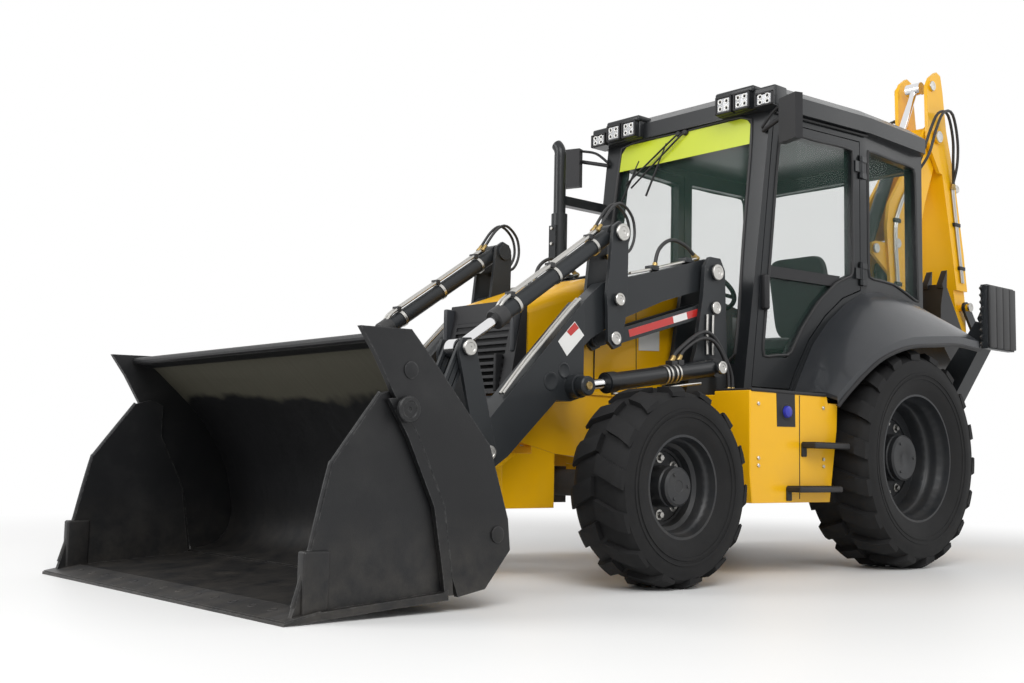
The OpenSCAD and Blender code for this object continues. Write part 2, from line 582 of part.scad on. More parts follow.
// Loader bucket: the rear mouldboard with its side plates, and the jaw in front of it
back_curve = [[3990, 1090], [3880, 1075], [3770, 985], [3600, 830], [3490, 690], [3410, 540], [3370, 380], [3360, 250],
              [3400, 150], [3480, 86], [3600, 60]];
module loader_bucket() color([0.1, 0.1, 0.11]) union() {
  plate(concat(back_curve, [[3600, 85], [3500, 110], [3425, 170], [3390, 260], [3400, 380], [3440, 530], [3518, 675],
    [3625, 812], [3790, 962], [3890, 1045], [3990, 1060]]), -bucket_w / 2 + bucket_side_t, bucket_w / 2 - bucket_side_t);
  both() {
    difference() {
      plate([[4127, 1106], [3885, 1111], [3751, 974], [3469, 666], [3361, 362], [3347, 235], [3479, 82], [3620, 58],
             [3653, 139], [3700, 420], [3840, 700], [3960, 850], [4050, 1000]], bucket_w / 2 - bucket_side_t,
            bucket_w / 2);
      ycyl(jaw_p, pin_r + 0.5, 0, 2000);
    }
    // hinge ears behind the mouldboard
    for (s = [[68, 90], [-90, -68]]) difference() {
      plate([[3240, 290], [3260, 240], [3320, 232], [3375, 200], [3405, 160], [3420, 560], [3380, 480], [3262, 350]],
            arm_y + s[0], arm_y + s[1]);
    }
    ycyl(hinge_p, pin_r, arm_y - 92, arm_y + 92);
    plate([[3500, 690], [3440, 590], [3400, 470], [3350, 500], [3330, 580], [3345, 630], [3385, 650], [3500, 720]],
          arm_y - 34, arm_y + 34);
    for (s = [[34, 37], [-37, -34]]) ycyl(ear_p, 34, arm_y + s[0], arm_y + s[1]);
  }
}
module bucket_jaw() color([0.1, 0.1, 0.11]) union() {
  plate([[3668, 48], [4250, 12], [4418, 0], [4418, 12], [4250, 42], [3700, 78], [3668, 90]], -bucket_w / 2, bucket_w / 2);
  both() {
    difference() {
      plate([[4001, 854], [4214, 580], [4289, 282], [4368, 20], [3668, 60], [3720, 420], [3850, 690], [3850, 850],
             [3910, 880]], bucket_w / 2 - bucket_side_t * 2 - gap, bucket_w / 2 - bucket_side_t - gap);
    }
    ycyl(jaw_p, pin_r, bucket_w / 2 - bucket_side_t * 2 - gap, bucket_w / 2 + 14);
  }
}

module swing_post() color([0.96, 0.72, 0.05]) union() {
  difference() {
    union() {
      for (z = [[514, 592], [988, 1062]]) translate([0, 0, z[0]]) linear_extrude(z[1] - z[0])
        polygon([[-1290, -90], [-1290, 90], [-1480, 165], [-1600, 165], [-1600, -165], [-1480, -165]]);
      translate([-1620, -165, 514]) cube([140, 330, 548]);
      for (s = [[112, 140], [-140, -112]])
        plate([[-1480, 514], [-1480, 1062], [-1560, 1062], [-1660, 900], [-1660, 790], [-1600, 514]], s[0], s[1]);
      for (s = [[62, 88], [-88, -62]])
        plate([[-1290, 1050], [-1470, 1050], [-1240, 1200], [-1180, 1208], [-1130, 1170], [-1130, 1120],
               [-1180, 1088]], s[0], s[1]);
    }
    // slot for the boom foot
    translate([-1700, -111, 700]) cube([300, 222, 700]);
    translate([-1475, -70, 1036]) cube([150, 140, 100]);
  }
  ycyl(foot_p, 36, -160, 160);
  ycyl(boom_base, pin_r, -100, 100);
  translate([swing_x, 0, 520]) cylinder(h = 512, r = pin_r + 14);
}

boom_outline = [[-1650, 830], [-1610, 770], [-1540, 755], [-1480, 800], [-1430, 1100], [-1330, 1600], [-1290, 2000],
  [-1250, 2380], [-1290, 2560], [-1480, 2800], [-1830, 3240], [-1900, 3300], [-1985, 3270], [-2030, 3190],
  [-2000, 3080], [-1800, 2640], [-1720, 2400], [-1630, 2100], [-1560, 1600], [-1610, 1100]];
boom_web = [[-1600, 1000], [-1560, 1000], [-1520, 1100], [-1460, 1600], [-1520, 2100], [-1590, 2400], [-1680, 2620],
  [-1880, 3020], [-1960, 3080], [-2000, 3080], [-1800, 2640], [-1720, 2400], [-1630, 2100], [-1560, 1600],
  [-1610, 1100]];
module boom() color([0.96, 0.74, 0.06]) difference() {
  union() {
    for (s = [1, -1]) plate(boom_outline, s > 0 ? boom_half_w - boom_plate_t : -boom_half_w,
                            s > 0 ? boom_half_w : -boom_half_w + boom_plate_t);
    plate(boom_web, -boom_half_w + 5, boom_half_w - 5);
    ycyl(dip_p, 90, -boom_half_w, boom_half_w);
    for (p = [dip_base]) for (s = [[62, 85], [-85, -62]])
      plate([p + [40, -30], p + [40, 40], p + [-20, 60], p + [-230, 60], p + [-230, -190]], s[0], s[1]);
    for (s = [[boom_half_w, boom_half_w + 6], [-boom_half_w - 6, -boom_half_w]]) ycyl(boom_eye, 40, s[0], s[1]);
    ycyl(dip_base, pin_r, -98, 98);
  }
  ycyl(foot_p, 36.5, -200, 200);
  ycyl(dip_p, pin_r + 6.5, -200, 200);
}
module boom_barrel() color([0.12, 0.12, 0.13])
  barrel(boom_base, boom_eye, 985, 52, 55, pin_r + 0.5, 45, 0, 28);
module boom_rod() color([0.8, 0.8, 0.82]) rod(boom_base, boom_eye, 155, 28, 52, 0, 45, 0);

dipper_box = [[-1985, 2960], [-2060, 2960], [-2190, 2880], [-2316, 2300], [-2384, 1900], [-2400, 1560], [-2380, 1500],
  [-2320, 1490], [-2275, 1530], [-2230, 1860], [-2090, 2500]];
dipper_top = [[-1985, 2960], [-2060, 2960], [-2190, 2880], [-2316, 2300], [-2366, 2000], [-2199, 2000],
  [-2090, 2500]];
module dipper() color([0.96, 0.74, 0.06]) difference() {
  union() {
    for (s = [[112, 142], [-142, -112]])
      plate([[-1800, 3130], [-1790, 3560], [-1840, 3640], [-1930, 3700], [-1990, 3680], [-2020, 3560], [-2070, 3250],
             [-2190, 2880], [-2060, 2880], [-1960, 2900], [-1850, 3040]], s[0], s[1]);
    plate(dipper_box, -112, 112);
    plate(dipper_top, -142, 142);
    pin(dip_p, pin_r + 6, -165, 165, 16);
    for (s = [[142, 152], [-152, -142]]) ycyl(dip_eye, 42, s[0], s[1]);
    for (s = [[60, 84], [-84, -60]]) plate([[-2120, 2930], [-2180, 2780], [-2300, 2780], [-2345, 2815], [-2335, 2860], [-2290, 2885]],
                                          s[0], s[1]);
    ycyl(hoe_base, 25, -98, 98);
    ycyl(guide_p, 28, -200, 200);
  }
  ycyl(hoe_p, pin_r + 0.5, -300, 300);
}
module dipper_barrel() color([0.12, 0.12, 0.13])
  barrel(dip_base, dip_eye, 850, 48, 52, pin_r + 0.5, 45, 0, 28);
module dipper_rod() color([0.8, 0.8, 0.82]) rod(dip_base, dip_eye, 795, 28, 50, 0, 60, 0);

hoe_shell = [[-2290, 1440], [-2180, 1360], [-2040, 1340], [-1880, 1390], [-1770, 1500], [-1718, 1650], [-1722, 1820],
  [-1770, 1990]];
module hoe_bucket() color([0.14, 0.14, 0.15]) union() {
  w = hoe_bucket_w / 2;
  plate(concat(hoe_shell, [[-1800, 1990], [-1746, 1818], [-1742, 1655], [-1790, 1512], [-1890, 1414], [-2040, 1364],
    [-2170, 1384], [-2270, 1456]]), -w, w);
  both() {
    plate(concat(hoe_shell, [[-1820, 1960], [-2100, 1560], [-2270, 1500]]), w - 22, w);
    difference() {
      plate([[-2400, 1600], [-2395, 1340], [-2320, 1310], [-2180, 1362], [-2040, 1342], [-2060, 1420], [-2200, 1480],
             [-2270, 1600], [-2340, 1650]], 150, 175);
    }
  }
  ycyl(hoe_p, pin_r, -178, 178);
  for (s = [[146, 151], [-151, -146]]) ycyl(hoe_ear, 40, s[0], s[1]);
  for (k = [-2:2]) plate([[-1750, 1960], [-1748, 1990], [-1820, 2100], [-1812, 1960]], k * (w - 24) / 2 - 24,
                         k * (w - 24) / 2 + 24);
}
module hoe_barrel() color([0.12, 0.12, 0.13]) barrel(hoe_base, hoe_joint, 680, 46, 48, 25.5, 45, 0, 25);
module hoe_rod() color([0.8, 0.8, 0.82]) rod(hoe_base, hoe_joint, 620, 25, 44, 0, 45, 0);
module guide_links() color([0.2, 0.21, 0.22]) union() {
  for (s = [[150, 172], [-172, -150]]) strap(guide_p, hoe_joint, 45, 28.5, s[0], s[1]);
  ycyl(hoe_joint, 28, 52, 172);
  ycyl(hoe_joint, 28, -172, -52);
}
module push_link() color([0.2, 0.21, 0.22]) union() {
  for (s = [[120, 144], [-144, -120]]) strap(hoe_joint, hoe_ear, 45, 28.5, s[0], s[1]);
}

function leg_at(s, d) = [leg_p[0] + s * cos(leg_ang) - d * sin(leg_ang), leg_p[1] + s * sin(leg_ang) + d * cos(leg_ang)];
module xplate(pts, x0, x1) { translate([x0, 0, 0]) rotate([90, 0, 90]) linear_extrude(x1 - x0) polygon(pts); }
module leg() color([0.2, 0.21, 0.22]) difference() {
  union() {
    for (s = [[-80, -58], [58, 80]])
      xplate([leg_at(-55, -30), leg_at(-55, 40), leg_at(60, 80), leg_at(340, 95), leg_at(leg_len - 40, 40),
              leg_at(leg_len - 20, -60), leg_at(340, -75)], leg_x + s[0], leg_x + s[1]);
    xplate([leg_at(420, -60), leg_at(420, -84), leg_at(leg_len - 60, -70), leg_at(leg_len - 60, -46)], leg_x - 80, leg_x + 80);
    xplate([leg_at(leg_len - 60, 40), leg_at(420, 85), leg_at(420, 60), leg_at(leg_len - 60, 15)], leg_x - 80, leg_x + 80);
    // pad with its rubber block
    translate([leg_x, 0, 0]) xplate([[1075, 1380], [1120, 1380], [1120, 1800], [1075, 1800]], -180, 180);
    xplate([leg_at(leg_len - 60, -20), leg_at(leg_len - 120, -60), [1080, 1420], [1080, 1760], leg_at(leg_len - 20, 40)],
           leg_x - 80, leg_x + 80);
    for (s = [[-82, -80], [80, 82]]) translate([leg_x + s[0], leg_pin[0], leg_pin[1]]) rotate([0, 90, 0])
      cylinder(h = s[1] - s[0], r = 36);
  }
  translate([leg_x - 200, leg_p[0], leg_p[1]]) rotate([0, 90, 0]) cylinder(h = 400, r = pin_r + 0.5);
}
module stabilizer_left() leg();
module stabilizer_right() mirror([0, 1, 0]) leg();
// Turns the side-view helpers to the rear view: x becomes y, y becomes the distance along x
module rear_view() translate([leg_x, 0, 0]) rotate([0, 0, 90]) children();
module leg_barrel_left() color([0.12, 0.12, 0.13]) rear_view() barrel(leg_base, leg_pin, 600, 42, 46, 22.5, 40, 0, 24);
module leg_barrel_right() color([0.12, 0.12, 0.13]) mirror([0, 1, 0]) rear_view()
  barrel(leg_base, leg_pin, 600, 42, 46, 22.5, 40, 0, 24);
module leg_rod_left() color([0.8, 0.8, 0.82]) rear_view() rod(leg_base, leg_pin, 145, 24, 44, 0, 40, 0);
module leg_rod_right() color([0.8, 0.8, 0.82]) mirror([0, 1, 0]) rear_view() rod(leg_base, leg_pin, 145, 24, 44, 0, 40, 0);

module placed() translate([-origin_x, 0, 0]) children();
placed() main_frame();
placed() loader_towers();
placed() engine_block();
placed() hood();
placed() grille();
placed() front_bumper();
placed() axles();
placed() exhaust_stack();
placed() cab_frame();
placed() cab_roof();
placed() cab_glass();
placed() mirrors();
placed() seat();
placed() steering_console();
placed() rear_fenders();
placed() side_boxes();
placed() door_left();
placed() door_left_glass();
placed() door_right();
placed() door_right_glass();
placed() knuckle_left();
placed() knuckle_right();
placed() front_tyre_left();
placed() front_rim_left();
placed() front_tyre_right();
placed() front_rim_right();
placed() rear_tyre_left();
placed() rear_rim_left();
placed() rear_tyre_right();
placed() rear_rim_right();
placed() loader_arms();
placed() levelling_cranks();
placed() levelling_links();
placed() lift_barrels();
placed() lift_rods();
placed() tilt_barrels();
placed() tilt_rods();
placed() tip_levers();
placed() tip_links();
placed() loader_bucket();
placed() bucket_jaw();
placed() swing_post();
placed() boom();
placed() boom_barrel();
placed() boom_rod();
placed() dipper();
placed() dipper_barrel();
placed() dipper_rod();
placed() hoe_bucket();
placed() hoe_barrel();
placed() hoe_rod();
placed() guide_links();
placed() push_link();
placed() stabilizer_left();
placed() stabilizer_right();
placed() leg_barrel_left();
placed() leg_barrel_right();
placed() leg_rod_left();
placed() leg_rod_right();
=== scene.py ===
"""Looks of a backhoe loader around its CAD frame: paint, glass, rubber, hoses, lamps and small trim.

Units are metres in the row frame: +X forward, +Y left, +Z up, wheels on z = 0.
"""
import math

import bmesh
import bpy
import numpy as np
from mathutils import Matrix, Vector


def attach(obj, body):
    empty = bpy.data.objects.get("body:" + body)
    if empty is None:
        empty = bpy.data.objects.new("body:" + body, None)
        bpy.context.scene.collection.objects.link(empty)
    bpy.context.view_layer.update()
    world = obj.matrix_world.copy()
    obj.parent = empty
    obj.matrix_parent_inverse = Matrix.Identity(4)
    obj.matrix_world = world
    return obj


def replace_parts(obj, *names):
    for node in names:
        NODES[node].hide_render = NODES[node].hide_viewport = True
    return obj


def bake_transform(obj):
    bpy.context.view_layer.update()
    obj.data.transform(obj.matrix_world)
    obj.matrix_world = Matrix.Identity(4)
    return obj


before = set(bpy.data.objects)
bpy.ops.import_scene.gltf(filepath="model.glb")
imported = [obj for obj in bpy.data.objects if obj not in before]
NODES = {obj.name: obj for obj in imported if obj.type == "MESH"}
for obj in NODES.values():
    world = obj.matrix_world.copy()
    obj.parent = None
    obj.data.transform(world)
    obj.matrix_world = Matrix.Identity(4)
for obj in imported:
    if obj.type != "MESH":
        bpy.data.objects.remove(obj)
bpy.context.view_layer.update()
OX = 0.9445  # the rear axle lies this far behind the row's origin


def rx(x):
    """Row x of a distance in front of the rear axle, both in metres."""
    return x - OX


# Meshes
def new_object(name, data):
    """An object in the scene, at the origin."""
    ob = bpy.data.objects.new(name, data)
    bpy.context.scene.collection.objects.link(ob)
    return ob


def new_mesh(name, verts, faces, mat, smooth=True, body=None, auto=None):
    """An object from an (n,3) array and a list or array of faces, riding a body."""
    me = bpy.data.meshes.new(name)
    me.from_pydata(np.asarray(verts, float).tolist(), [], [tuple(int(i) for i in f) for f in faces])
    bm = bmesh.new()
    bm.from_mesh(me)
    bmesh.ops.remove_doubles(bm, verts=bm.verts, dist=1e-6)
    bmesh.ops.recalc_face_normals(bm, faces=bm.faces)
    bm.to_mesh(me)
    bm.free()
    ob = new_object(name, me)
    me.materials.append(mat)
    me.polygons.foreach_set("use_smooth", np.full(len(me.polygons), smooth))
    if auto is not None:
        m = ob.modifiers.new("edges", "EDGE_SPLIT")
        m.split_angle = math.radians(auto)
    if body is not None:
        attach(ob, body)
    return ob


def grid_faces(n, m, wrap_u=False, wrap_v=False):
    """Quads of an n by m grid of points, wrapped round in u or v."""
    i = np.arange(n if wrap_u else n - 1)
    j = np.arange(m if wrap_v else m - 1)
    ii, jj = np.meshgrid(i, j, indexing="ij")
    i1, j1 = (ii + 1) % n, (jj + 1) % m
    return np.stack([ii * m + jj, i1 * m + jj, i1 * m + j1, ii * m + j1], -1).reshape(-1, 4).tolist()


class Batch:
    """Gathers pieces into one mesh: grid() takes points P(u, v), raw() takes vertices with faces."""

    def __init__(self):
        self.v, self.f, self.n = [], [], 0

    def raw(self, verts, faces):
        verts = np.asarray(verts, float).reshape(-1, 3)
        self.f += [tuple(int(k) + self.n for k in q) for q in faces]
        self.v.append(verts)
        self.n += len(verts)

    def grid(self, P, wrap_u=False, wrap_v=False, caps=False):
        n, m = P.shape[:2]
        f = grid_faces(n, m, wrap_u, wrap_v)
        if caps:
            f = f + [tuple(range(m))[::-1], tuple(range((n - 1) * m, n * m))]
        self.raw(P.reshape(-1, 3), f)

    def make(self, name, mat, body="chassis", smooth=True, auto=35):
        return new_mesh(name, np.concatenate(self.v), self.f, mat, smooth, body, auto)


def frame_of(axis):
    """Two unit vectors across an axis."""
    a = np.asarray(axis, float)
    a = a / np.linalg.norm(a)
    h = np.array([0, 0, 1.0]) if abs(a[2]) < 0.9 else np.array([1.0, 0, 0])
    u = np.cross(h, a)
    u /= np.linalg.norm(u)
    return a, u, np.cross(a, u)


def spline(pts, n):
    """n points on a Catmull-Rom curve through pts, evenly spread by length."""
    p = np.vstack([2 * pts[0] - pts[1], pts, 2 * pts[-1] - pts[-2]])
    t = np.linspace(0, 1, 24, endpoint=False)[:, None]
    a, b, c, d = p[:-3], p[1:-2], p[2:-1], p[3:]
    q = [0.5 * (2 * b[i] + (c[i] - a[i]) * t + (2 * a[i] - 5 * b[i] + 4 * c[i] - d[i]) * t**2
                + (3 * b[i] - a[i] - 3 * c[i] + d[i]) * t**3) for i in range(len(a))]
    q = np.vstack(q + [p[-2:-1]])
    s = np.r_[0, np.cumsum(np.linalg.norm(np.diff(q, axis=0), axis=1))]
    x = np.linspace(0, s[-1], n)
    return np.stack([np.interp(x, s, q[:, k]) for k in range(3)], 1)


def sweep(path, r, sides):
    """Grid of a round tube: P(s, a) = C(s) + r (cos a U(s) + sin a V(s)), U and V carried along the path."""
    T = np.gradient(path, axis=0)
    T /= np.linalg.norm(T, axis=1)[:, None]
    _, u, _ = frame_of(T[0])
    U = np.zeros_like(T)
    for k, t in enumerate(T):
        u = u - t * (u @ t)
        u = u / np.linalg.norm(u)
        U[k] = u
    V = np.cross(T, U)
    a = np.linspace(0, 2 * np.pi, sides, endpoint=False)
    return path[:, None] + r * (np.cos(a)[None, :, None] * U[:, None] + np.sin(a)[None, :, None] * V[:, None])


def revolve(profile, centre, axis, n):
    """Grid of a turned shape: P(a, s) = C + z(s) A + r(s) (cos a U + sin a V), profile rows are (r, z)."""
    a, u, v = frame_of(axis)
    t = np.linspace(0, 2 * np.pi, n, endpoint=False)
    ring = np.cos(t)[:, None] * u + np.sin(t)[:, None] * v
    return centre + profile[None, :, 1, None] * a + profile[None, :, 0, None] * ring[:, None, :]


def rbox(lo, hi, r, n=5):
    """Grid of a box with round edges: P(a, b) = c + sign(N) (h - r) + r N with N on the unit sphere."""
    c, h = (lo + hi) / 2, (hi - lo) / 2
    r = min(r, h.min() * 0.999)
    q = np.concatenate([np.linspace(k * np.pi / 2 + 1e-4, (k + 1) * np.pi / 2 - 1e-4, n) for k in range(4)])
    e = np.concatenate([np.linspace(-np.pi / 2, -1e-4, n), np.linspace(1e-4, np.pi / 2, n)])
    A, Bq = np.meshgrid(q, e, indexing="ij")
    N = np.stack([np.cos(Bq) * np.cos(A), np.cos(Bq) * np.sin(A), np.sin(Bq)], -1)
    return c + np.sign(N) * (h - r) + r * N


def hexes(batch, points, axis, r, h, sides=6):
    """Bolt heads: short prisms with a chamfered top at each point, standing along the axis."""
    a, u, v = frame_of(axis)
    t = np.linspace(0, 2 * np.pi, sides, endpoint=False)
    ring = np.cos(t)[:, None] * u + np.sin(t)[:, None] * v
    for p in points:
        P = np.stack([p + r * ring, p + r * ring + a * h * 0.8, p + r * 0.86 * ring + a * h], 0)
        batch.grid(P, wrap_v=True, caps=True)


# Shader helpers
def feed(socket, value):
    """Link a socket to another, or give it a constant; a colour (r, g, b) is opaque."""
    if hasattr(value, "links"):
        socket.id_data.links.new(value, socket)
    else:
        socket.default_value = (*value, 1) if socket.type == "RGBA" else value


def put(node, **values):
    """Feed a node's sockets by name; _ stands for a space."""
    for k, v in values.items():
        feed(node.inputs[k.replace("_", " ")], v)
    return node


class Shader:
    """A material's node tree with short calls: node() adds a node, link() joins sockets."""

    def __init__(self, name):
        self.mat = bpy.data.materials.new(name)
        self.mat.use_nodes = True
        self.tree = self.mat.node_tree
        self.tree.nodes.clear()
        self.out = self.node("ShaderNodeOutputMaterial")
        self.bsdf = self.node("ShaderNodeBsdfPrincipled")
        self.link(self.bsdf.outputs[0], self.out.inputs[0])
        self.co = self.node("ShaderNodeTexCoord").outputs["Object"]

    def node(self, kind, **values):
        n = self.tree.nodes.new(kind)
        for k, v in values.items():
            setattr(n, k, v)
        return n

    def link(self, a, b):
        self.tree.links.new(a, b)

    def set(self, **values):
        """Sockets or constants for the Principled shader."""
        put(self.bsdf, **values)

    def group(self, g, **values):
        """A node group on the object's coordinates."""
        n = self.node("ShaderNodeGroup", node_tree=g)
        return put(n, Vector=self.co, **values)

    def mix(self, fac, a, b):
        """Colour mix; a, b and fac may be sockets or constants."""
        n = self.node("ShaderNodeMix", data_type="RGBA")
        for s, v in ((n.inputs["Factor"], fac), (n.inputs[6], a), (n.inputs[7], b)):
            feed(s, v)
        return n.outputs[2]

    def bump(self, height, strength, distance):
        n = put(self.node("ShaderNodeBump"), Strength=strength, Distance=distance, Height=height)
        self.set(Normal=n.outputs[0])


def shader_group(name, inputs, outputs):
    """An empty shader node group: inputs {name: default}, None for the vector, and names of float outputs."""
    g = bpy.data.node_groups.new(name, "ShaderNodeTree")
    for k, v in inputs.items():
        kind = "NodeSocketVector" if v is None else "NodeSocketFloat"
        s = g.interface.new_socket(k, in_out="INPUT", socket_type=kind)
        if v is not None:
            s.default_value = v
    for k in outputs:
        g.interface.new_socket(k, in_out="OUTPUT", socket_type="NodeSocketFloat")
    return g, g.nodes.new("NodeGroupInput").outputs, g.nodes.new("NodeGroupOutput").inputs


def gnoise(g, vec, scale, detail=3.0, rough=0.55):
    """Noise on a vector; its scale is a socket or a constant."""
    n = put(g.nodes.new("ShaderNodeTexNoise"), Detail=detail, Roughness=rough, Scale=scale, Vector=vec)
    return n.outputs["Fac"]


def gramp(g, fac, lo, hi):
    """Linear step of a value from 0 at lo to 1 at hi, clamped."""
    return put(g.nodes.new("ShaderNodeMapRange"), From_Min=lo, From_Max=hi, Value=fac).outputs[0]


def gmath(g, op, a, b):
    """A math node on two values, each a socket or a constant."""
    n = g.nodes.new("ShaderNodeMath")
    n.operation = op
    for s, v in zip(n.inputs, (a, b)):
        feed(s, v)
    return n.outputs[0]


def make_grain():
    """Orange-peel of sprayed paint or moulded plastic: a fine height and a slow tone, both from noise."""
    g, i, o = shader_group("grain", {"Vector": None, "Fine": 900.0, "Slow": 3.0}, ("Height", "Tone"))
    g.links.new(gnoise(g, i["Vector"], i["Fine"], 2.0), o["Height"])
    g.links.new(gnoise(g, i["Vector"], i["Slow"], 4.0), o["Tone"])
    return g


def make_dust():
    """Dust lies low on the machine and on upward faces, broken up by noise: mask = (level(z) + up) * noise."""
    g, i, o = shader_group("dust", {"Vector": None, "Top": 0.9, "Up": 0.35, "Amount": 0.5}, ("Mask",))
    sep = g.nodes.new("ShaderNodeSeparateXYZ")
    g.links.new(i["Vector"], sep.inputs[0])
    geo = g.nodes.new("ShaderNodeNewGeometry")
    nrm = g.nodes.new("ShaderNodeSeparateXYZ")
    g.links.new(geo.outputs["Normal"], nrm.inputs[0])
    level = gmath(g, "SUBTRACT", 1.0, gramp(g, sep.outputs["Z"], 0.0, i["Top"]))
    up = gmath(g, "MULTIPLY", gramp(g, nrm.outputs["Z"], 0.2, 1.0), i["Up"])
    n = gramp(g, gnoise(g, i["Vector"], 9.0, 6.0, 0.65), 0.35, 0.8)
    m = gmath(g, "MULTIPLY", gmath(g, "MULTIPLY", gmath(g, "ADD", level, up), n), i["Amount"])
    g.links.new(gmath(g, "MINIMUM", m, 1.0), o["Mask"])
    return g


def make_wear():
    """Rubbed corners: the bevel-shaded normal departs from the flat one there, broken by noise."""
    g, i, o = shader_group("wear", {"Vector": None, "Width": 0.006, "Amount": 1.0}, ("Mask",))
    bev = g.nodes.new("ShaderNodeBevel")
    bev.samples = 4
    g.links.new(i["Width"], bev.inputs["Radius"])
    geo = g.nodes.new("ShaderNodeNewGeometry")
    dot = g.nodes.new("ShaderNodeVectorMath")
    dot.operation = "DOT_PRODUCT"
    g.links.new(bev.outputs[0], dot.inputs[0])
    g.links.new(geo.outputs["Normal"], dot.inputs[1])
    edge = gramp(g, gmath(g, "SUBTRACT", 1.0, dot.outputs["Value"]), 0.02, 0.2)
    n = gramp(g, gnoise(g, i["Vector"], 38.0, 5.0, 0.7), 0.42, 0.62)
    g.links.new(gmath(g, "MULTIPLY", gmath(g, "MULTIPLY", edge, n), i["Amount"]), o["Mask"])
    return g


def make_scratch():
    """Scraped metal: noise stretched along the blade gives streaks, a slow noise gathers them in patches."""
    g, i, o = shader_group("scratch", {"Vector": None, "Length": 1.0, "Amount": 1.0}, ("Mask", "Streak"))
    mp = put(g.nodes.new("ShaderNodeMapping"), Scale=(2.2, 60.0, 2.2))
    g.links.new(i["Vector"], mp.inputs[0])
    st = gnoise(g, mp.outputs[0], i["Length"], 5.0, 0.7)
    patch = gramp(g, gnoise(g, i["Vector"], 2.1, 4.0), 0.42, 0.64)
    mask = gmath(g, "MULTIPLY", gramp(g, st, 0.45, 0.75), patch)
    g.links.new(gmath(g, "MULTIPLY", mask, i["Amount"]), o["Mask"])
    g.links.new(st, o["Streak"])
    return g


GRAIN, DUST, WEAR, SCRATCH = make_grain(), make_dust(), make_wear(), make_scratch()
DUST_COLOUR, DUST_ROUGH = (0.24, 0.21, 0.17), 0.85


def finish_painted(name, dark, light, rough, metal=0.0, fine=700.0, peel=0.0004, wear=0.0, worn=(0.3, 0.3, 0.3),
                   dust=0.35, dust_top=0.9, coat=0.0, spread=0.1, shine=0.5):
    """Sprayed finish: two tones of the colour, orange peel, rubbed edges and dust low down."""
    s = Shader(name)
    g = s.group(GRAIN, Fine=fine, Slow=2.5)
    colour = s.mix(g.outputs["Tone"], dark, light)
    r = put(s.node("ShaderNodeMapRange"), To_Min=max(0.02, rough - spread), To_Max=min(1.0, rough + spread),
            Value=g.outputs["Tone"]).outputs[0]
    if wear:
        w = s.group(WEAR, Amount=wear)
        colour = s.mix(w.outputs["Mask"], colour, worn)
    if dust:
        d = s.group(DUST, Top=dust_top, Amount=dust)
        colour = s.mix(d.outputs["Mask"], colour, DUST_COLOUR)
        rr = s.node("ShaderNodeMix", data_type="FLOAT")
        for k, v in ((0, d.outputs["Mask"]), (2, r), (3, DUST_ROUGH)):
            feed(rr.inputs[k], v)
        r = rr.outputs[0]
    s.set(Base_Color=colour, Roughness=r, Metallic=metal, Specular_IOR_Level=shine)
    if coat:
        s.set(Coat_Weight=coat, Coat_Roughness=0.08)
    s.bump(g.outputs["Height"], 0.35, peel)
    return s.mat


YELLOW = finish_painted("yellow_paint", (0.82, 0.42, 0.002), (0.92, 0.5, 0.003), 0.34, wear=0.5,
                        worn=(0.3, 0.24, 0.12), dust=0.1, dust_top=1.0, coat=0.15, shine=0.3)
GREY = finish_painted("charcoal_paint", (0.016, 0.018, 0.02), (0.026, 0.029, 0.032), 0.38, wear=0.8,
                      worn=(0.1, 0.1, 0.105), dust=0.06, coat=0.06, shine=0.25)
CAB = finish_painted("cab_black", (0.009, 0.01, 0.0115), (0.016, 0.018, 0.02), 0.32, wear=0.35,
                     worn=(0.07, 0.07, 0.075), dust=0.04, coat=0.12, shine=0.25)
FENDER = finish_painted("fender_plastic", (0.024, 0.026, 0.03), (0.038, 0.041, 0.046), 0.32, fine=420.0,
                        peel=0.0008, dust=0.08, dust_top=1.4, coat=0.2, shine=0.35)
PLASTIC = finish_painted("moulded_black", (0.012, 0.012, 0.013), (0.022, 0.022, 0.024), 0.52, fine=520.0,
                         peel=0.001, dust=0.2, shine=0.3)
RIM = finish_painted("rim_paint", (0.012, 0.013, 0.015), (0.022, 0.024, 0.027), 0.42, wear=0.3,
                     worn=(0.1, 0.1, 0.1), dust=0.12, dust_top=1.0, shine=0.35)
CAST = finish_painted("cast_iron", (0.018, 0.018, 0.02), (0.035, 0.034, 0.034), 0.7, fine=160.0, peel=0.003,
                      dust=0.25)
RED = finish_painted("red_paint", (0.42, 0.012, 0.01), (0.55, 0.022, 0.016), 0.35, wear=0.6, dust=0.2, coat=0.3)
STEEL = finish_painted("zinc_steel", (0.42, 0.41, 0.39), (0.6, 0.59, 0.56), 0.34, metal=1.0, fine=300.0, dust=0.15)
BRASS = finish_painted("greased_pin", (0.3, 0.2, 0.07), (0.45, 0.33, 0.14), 0.4, metal=1.0, dust=0.1)
CHROME = finish_painted("chrome_rod", (0.72, 0.72, 0.73), (0.82, 0.82, 0.83), 0.12, metal=1.0, fine=200.0,
                        peel=0.00005, dust=0.1, spread=0.05)
HOSE = finish_painted("hose_rubber", (0.01, 0.01, 0.011), (0.02, 0.02, 0.021), 0.5, fine=800.0, peel=0.0006,
                      dust=0.2)
LABEL = finish_painted("blank_label", (0.72, 0.72, 0.7), (0.82, 0.82, 0.8), 0.4, dust=0.2, peel=0.0001)
VISOR = finish_painted("visor_strip", (0.42, 0.5, 0.01), (0.5, 0.58, 0.015), 0.3, dust=0.0, peel=0.0001)
BLUE = finish_painted("blue_cap", (0.02, 0.025, 0.3), (0.03, 0.04, 0.45), 0.35, dust=0.1)


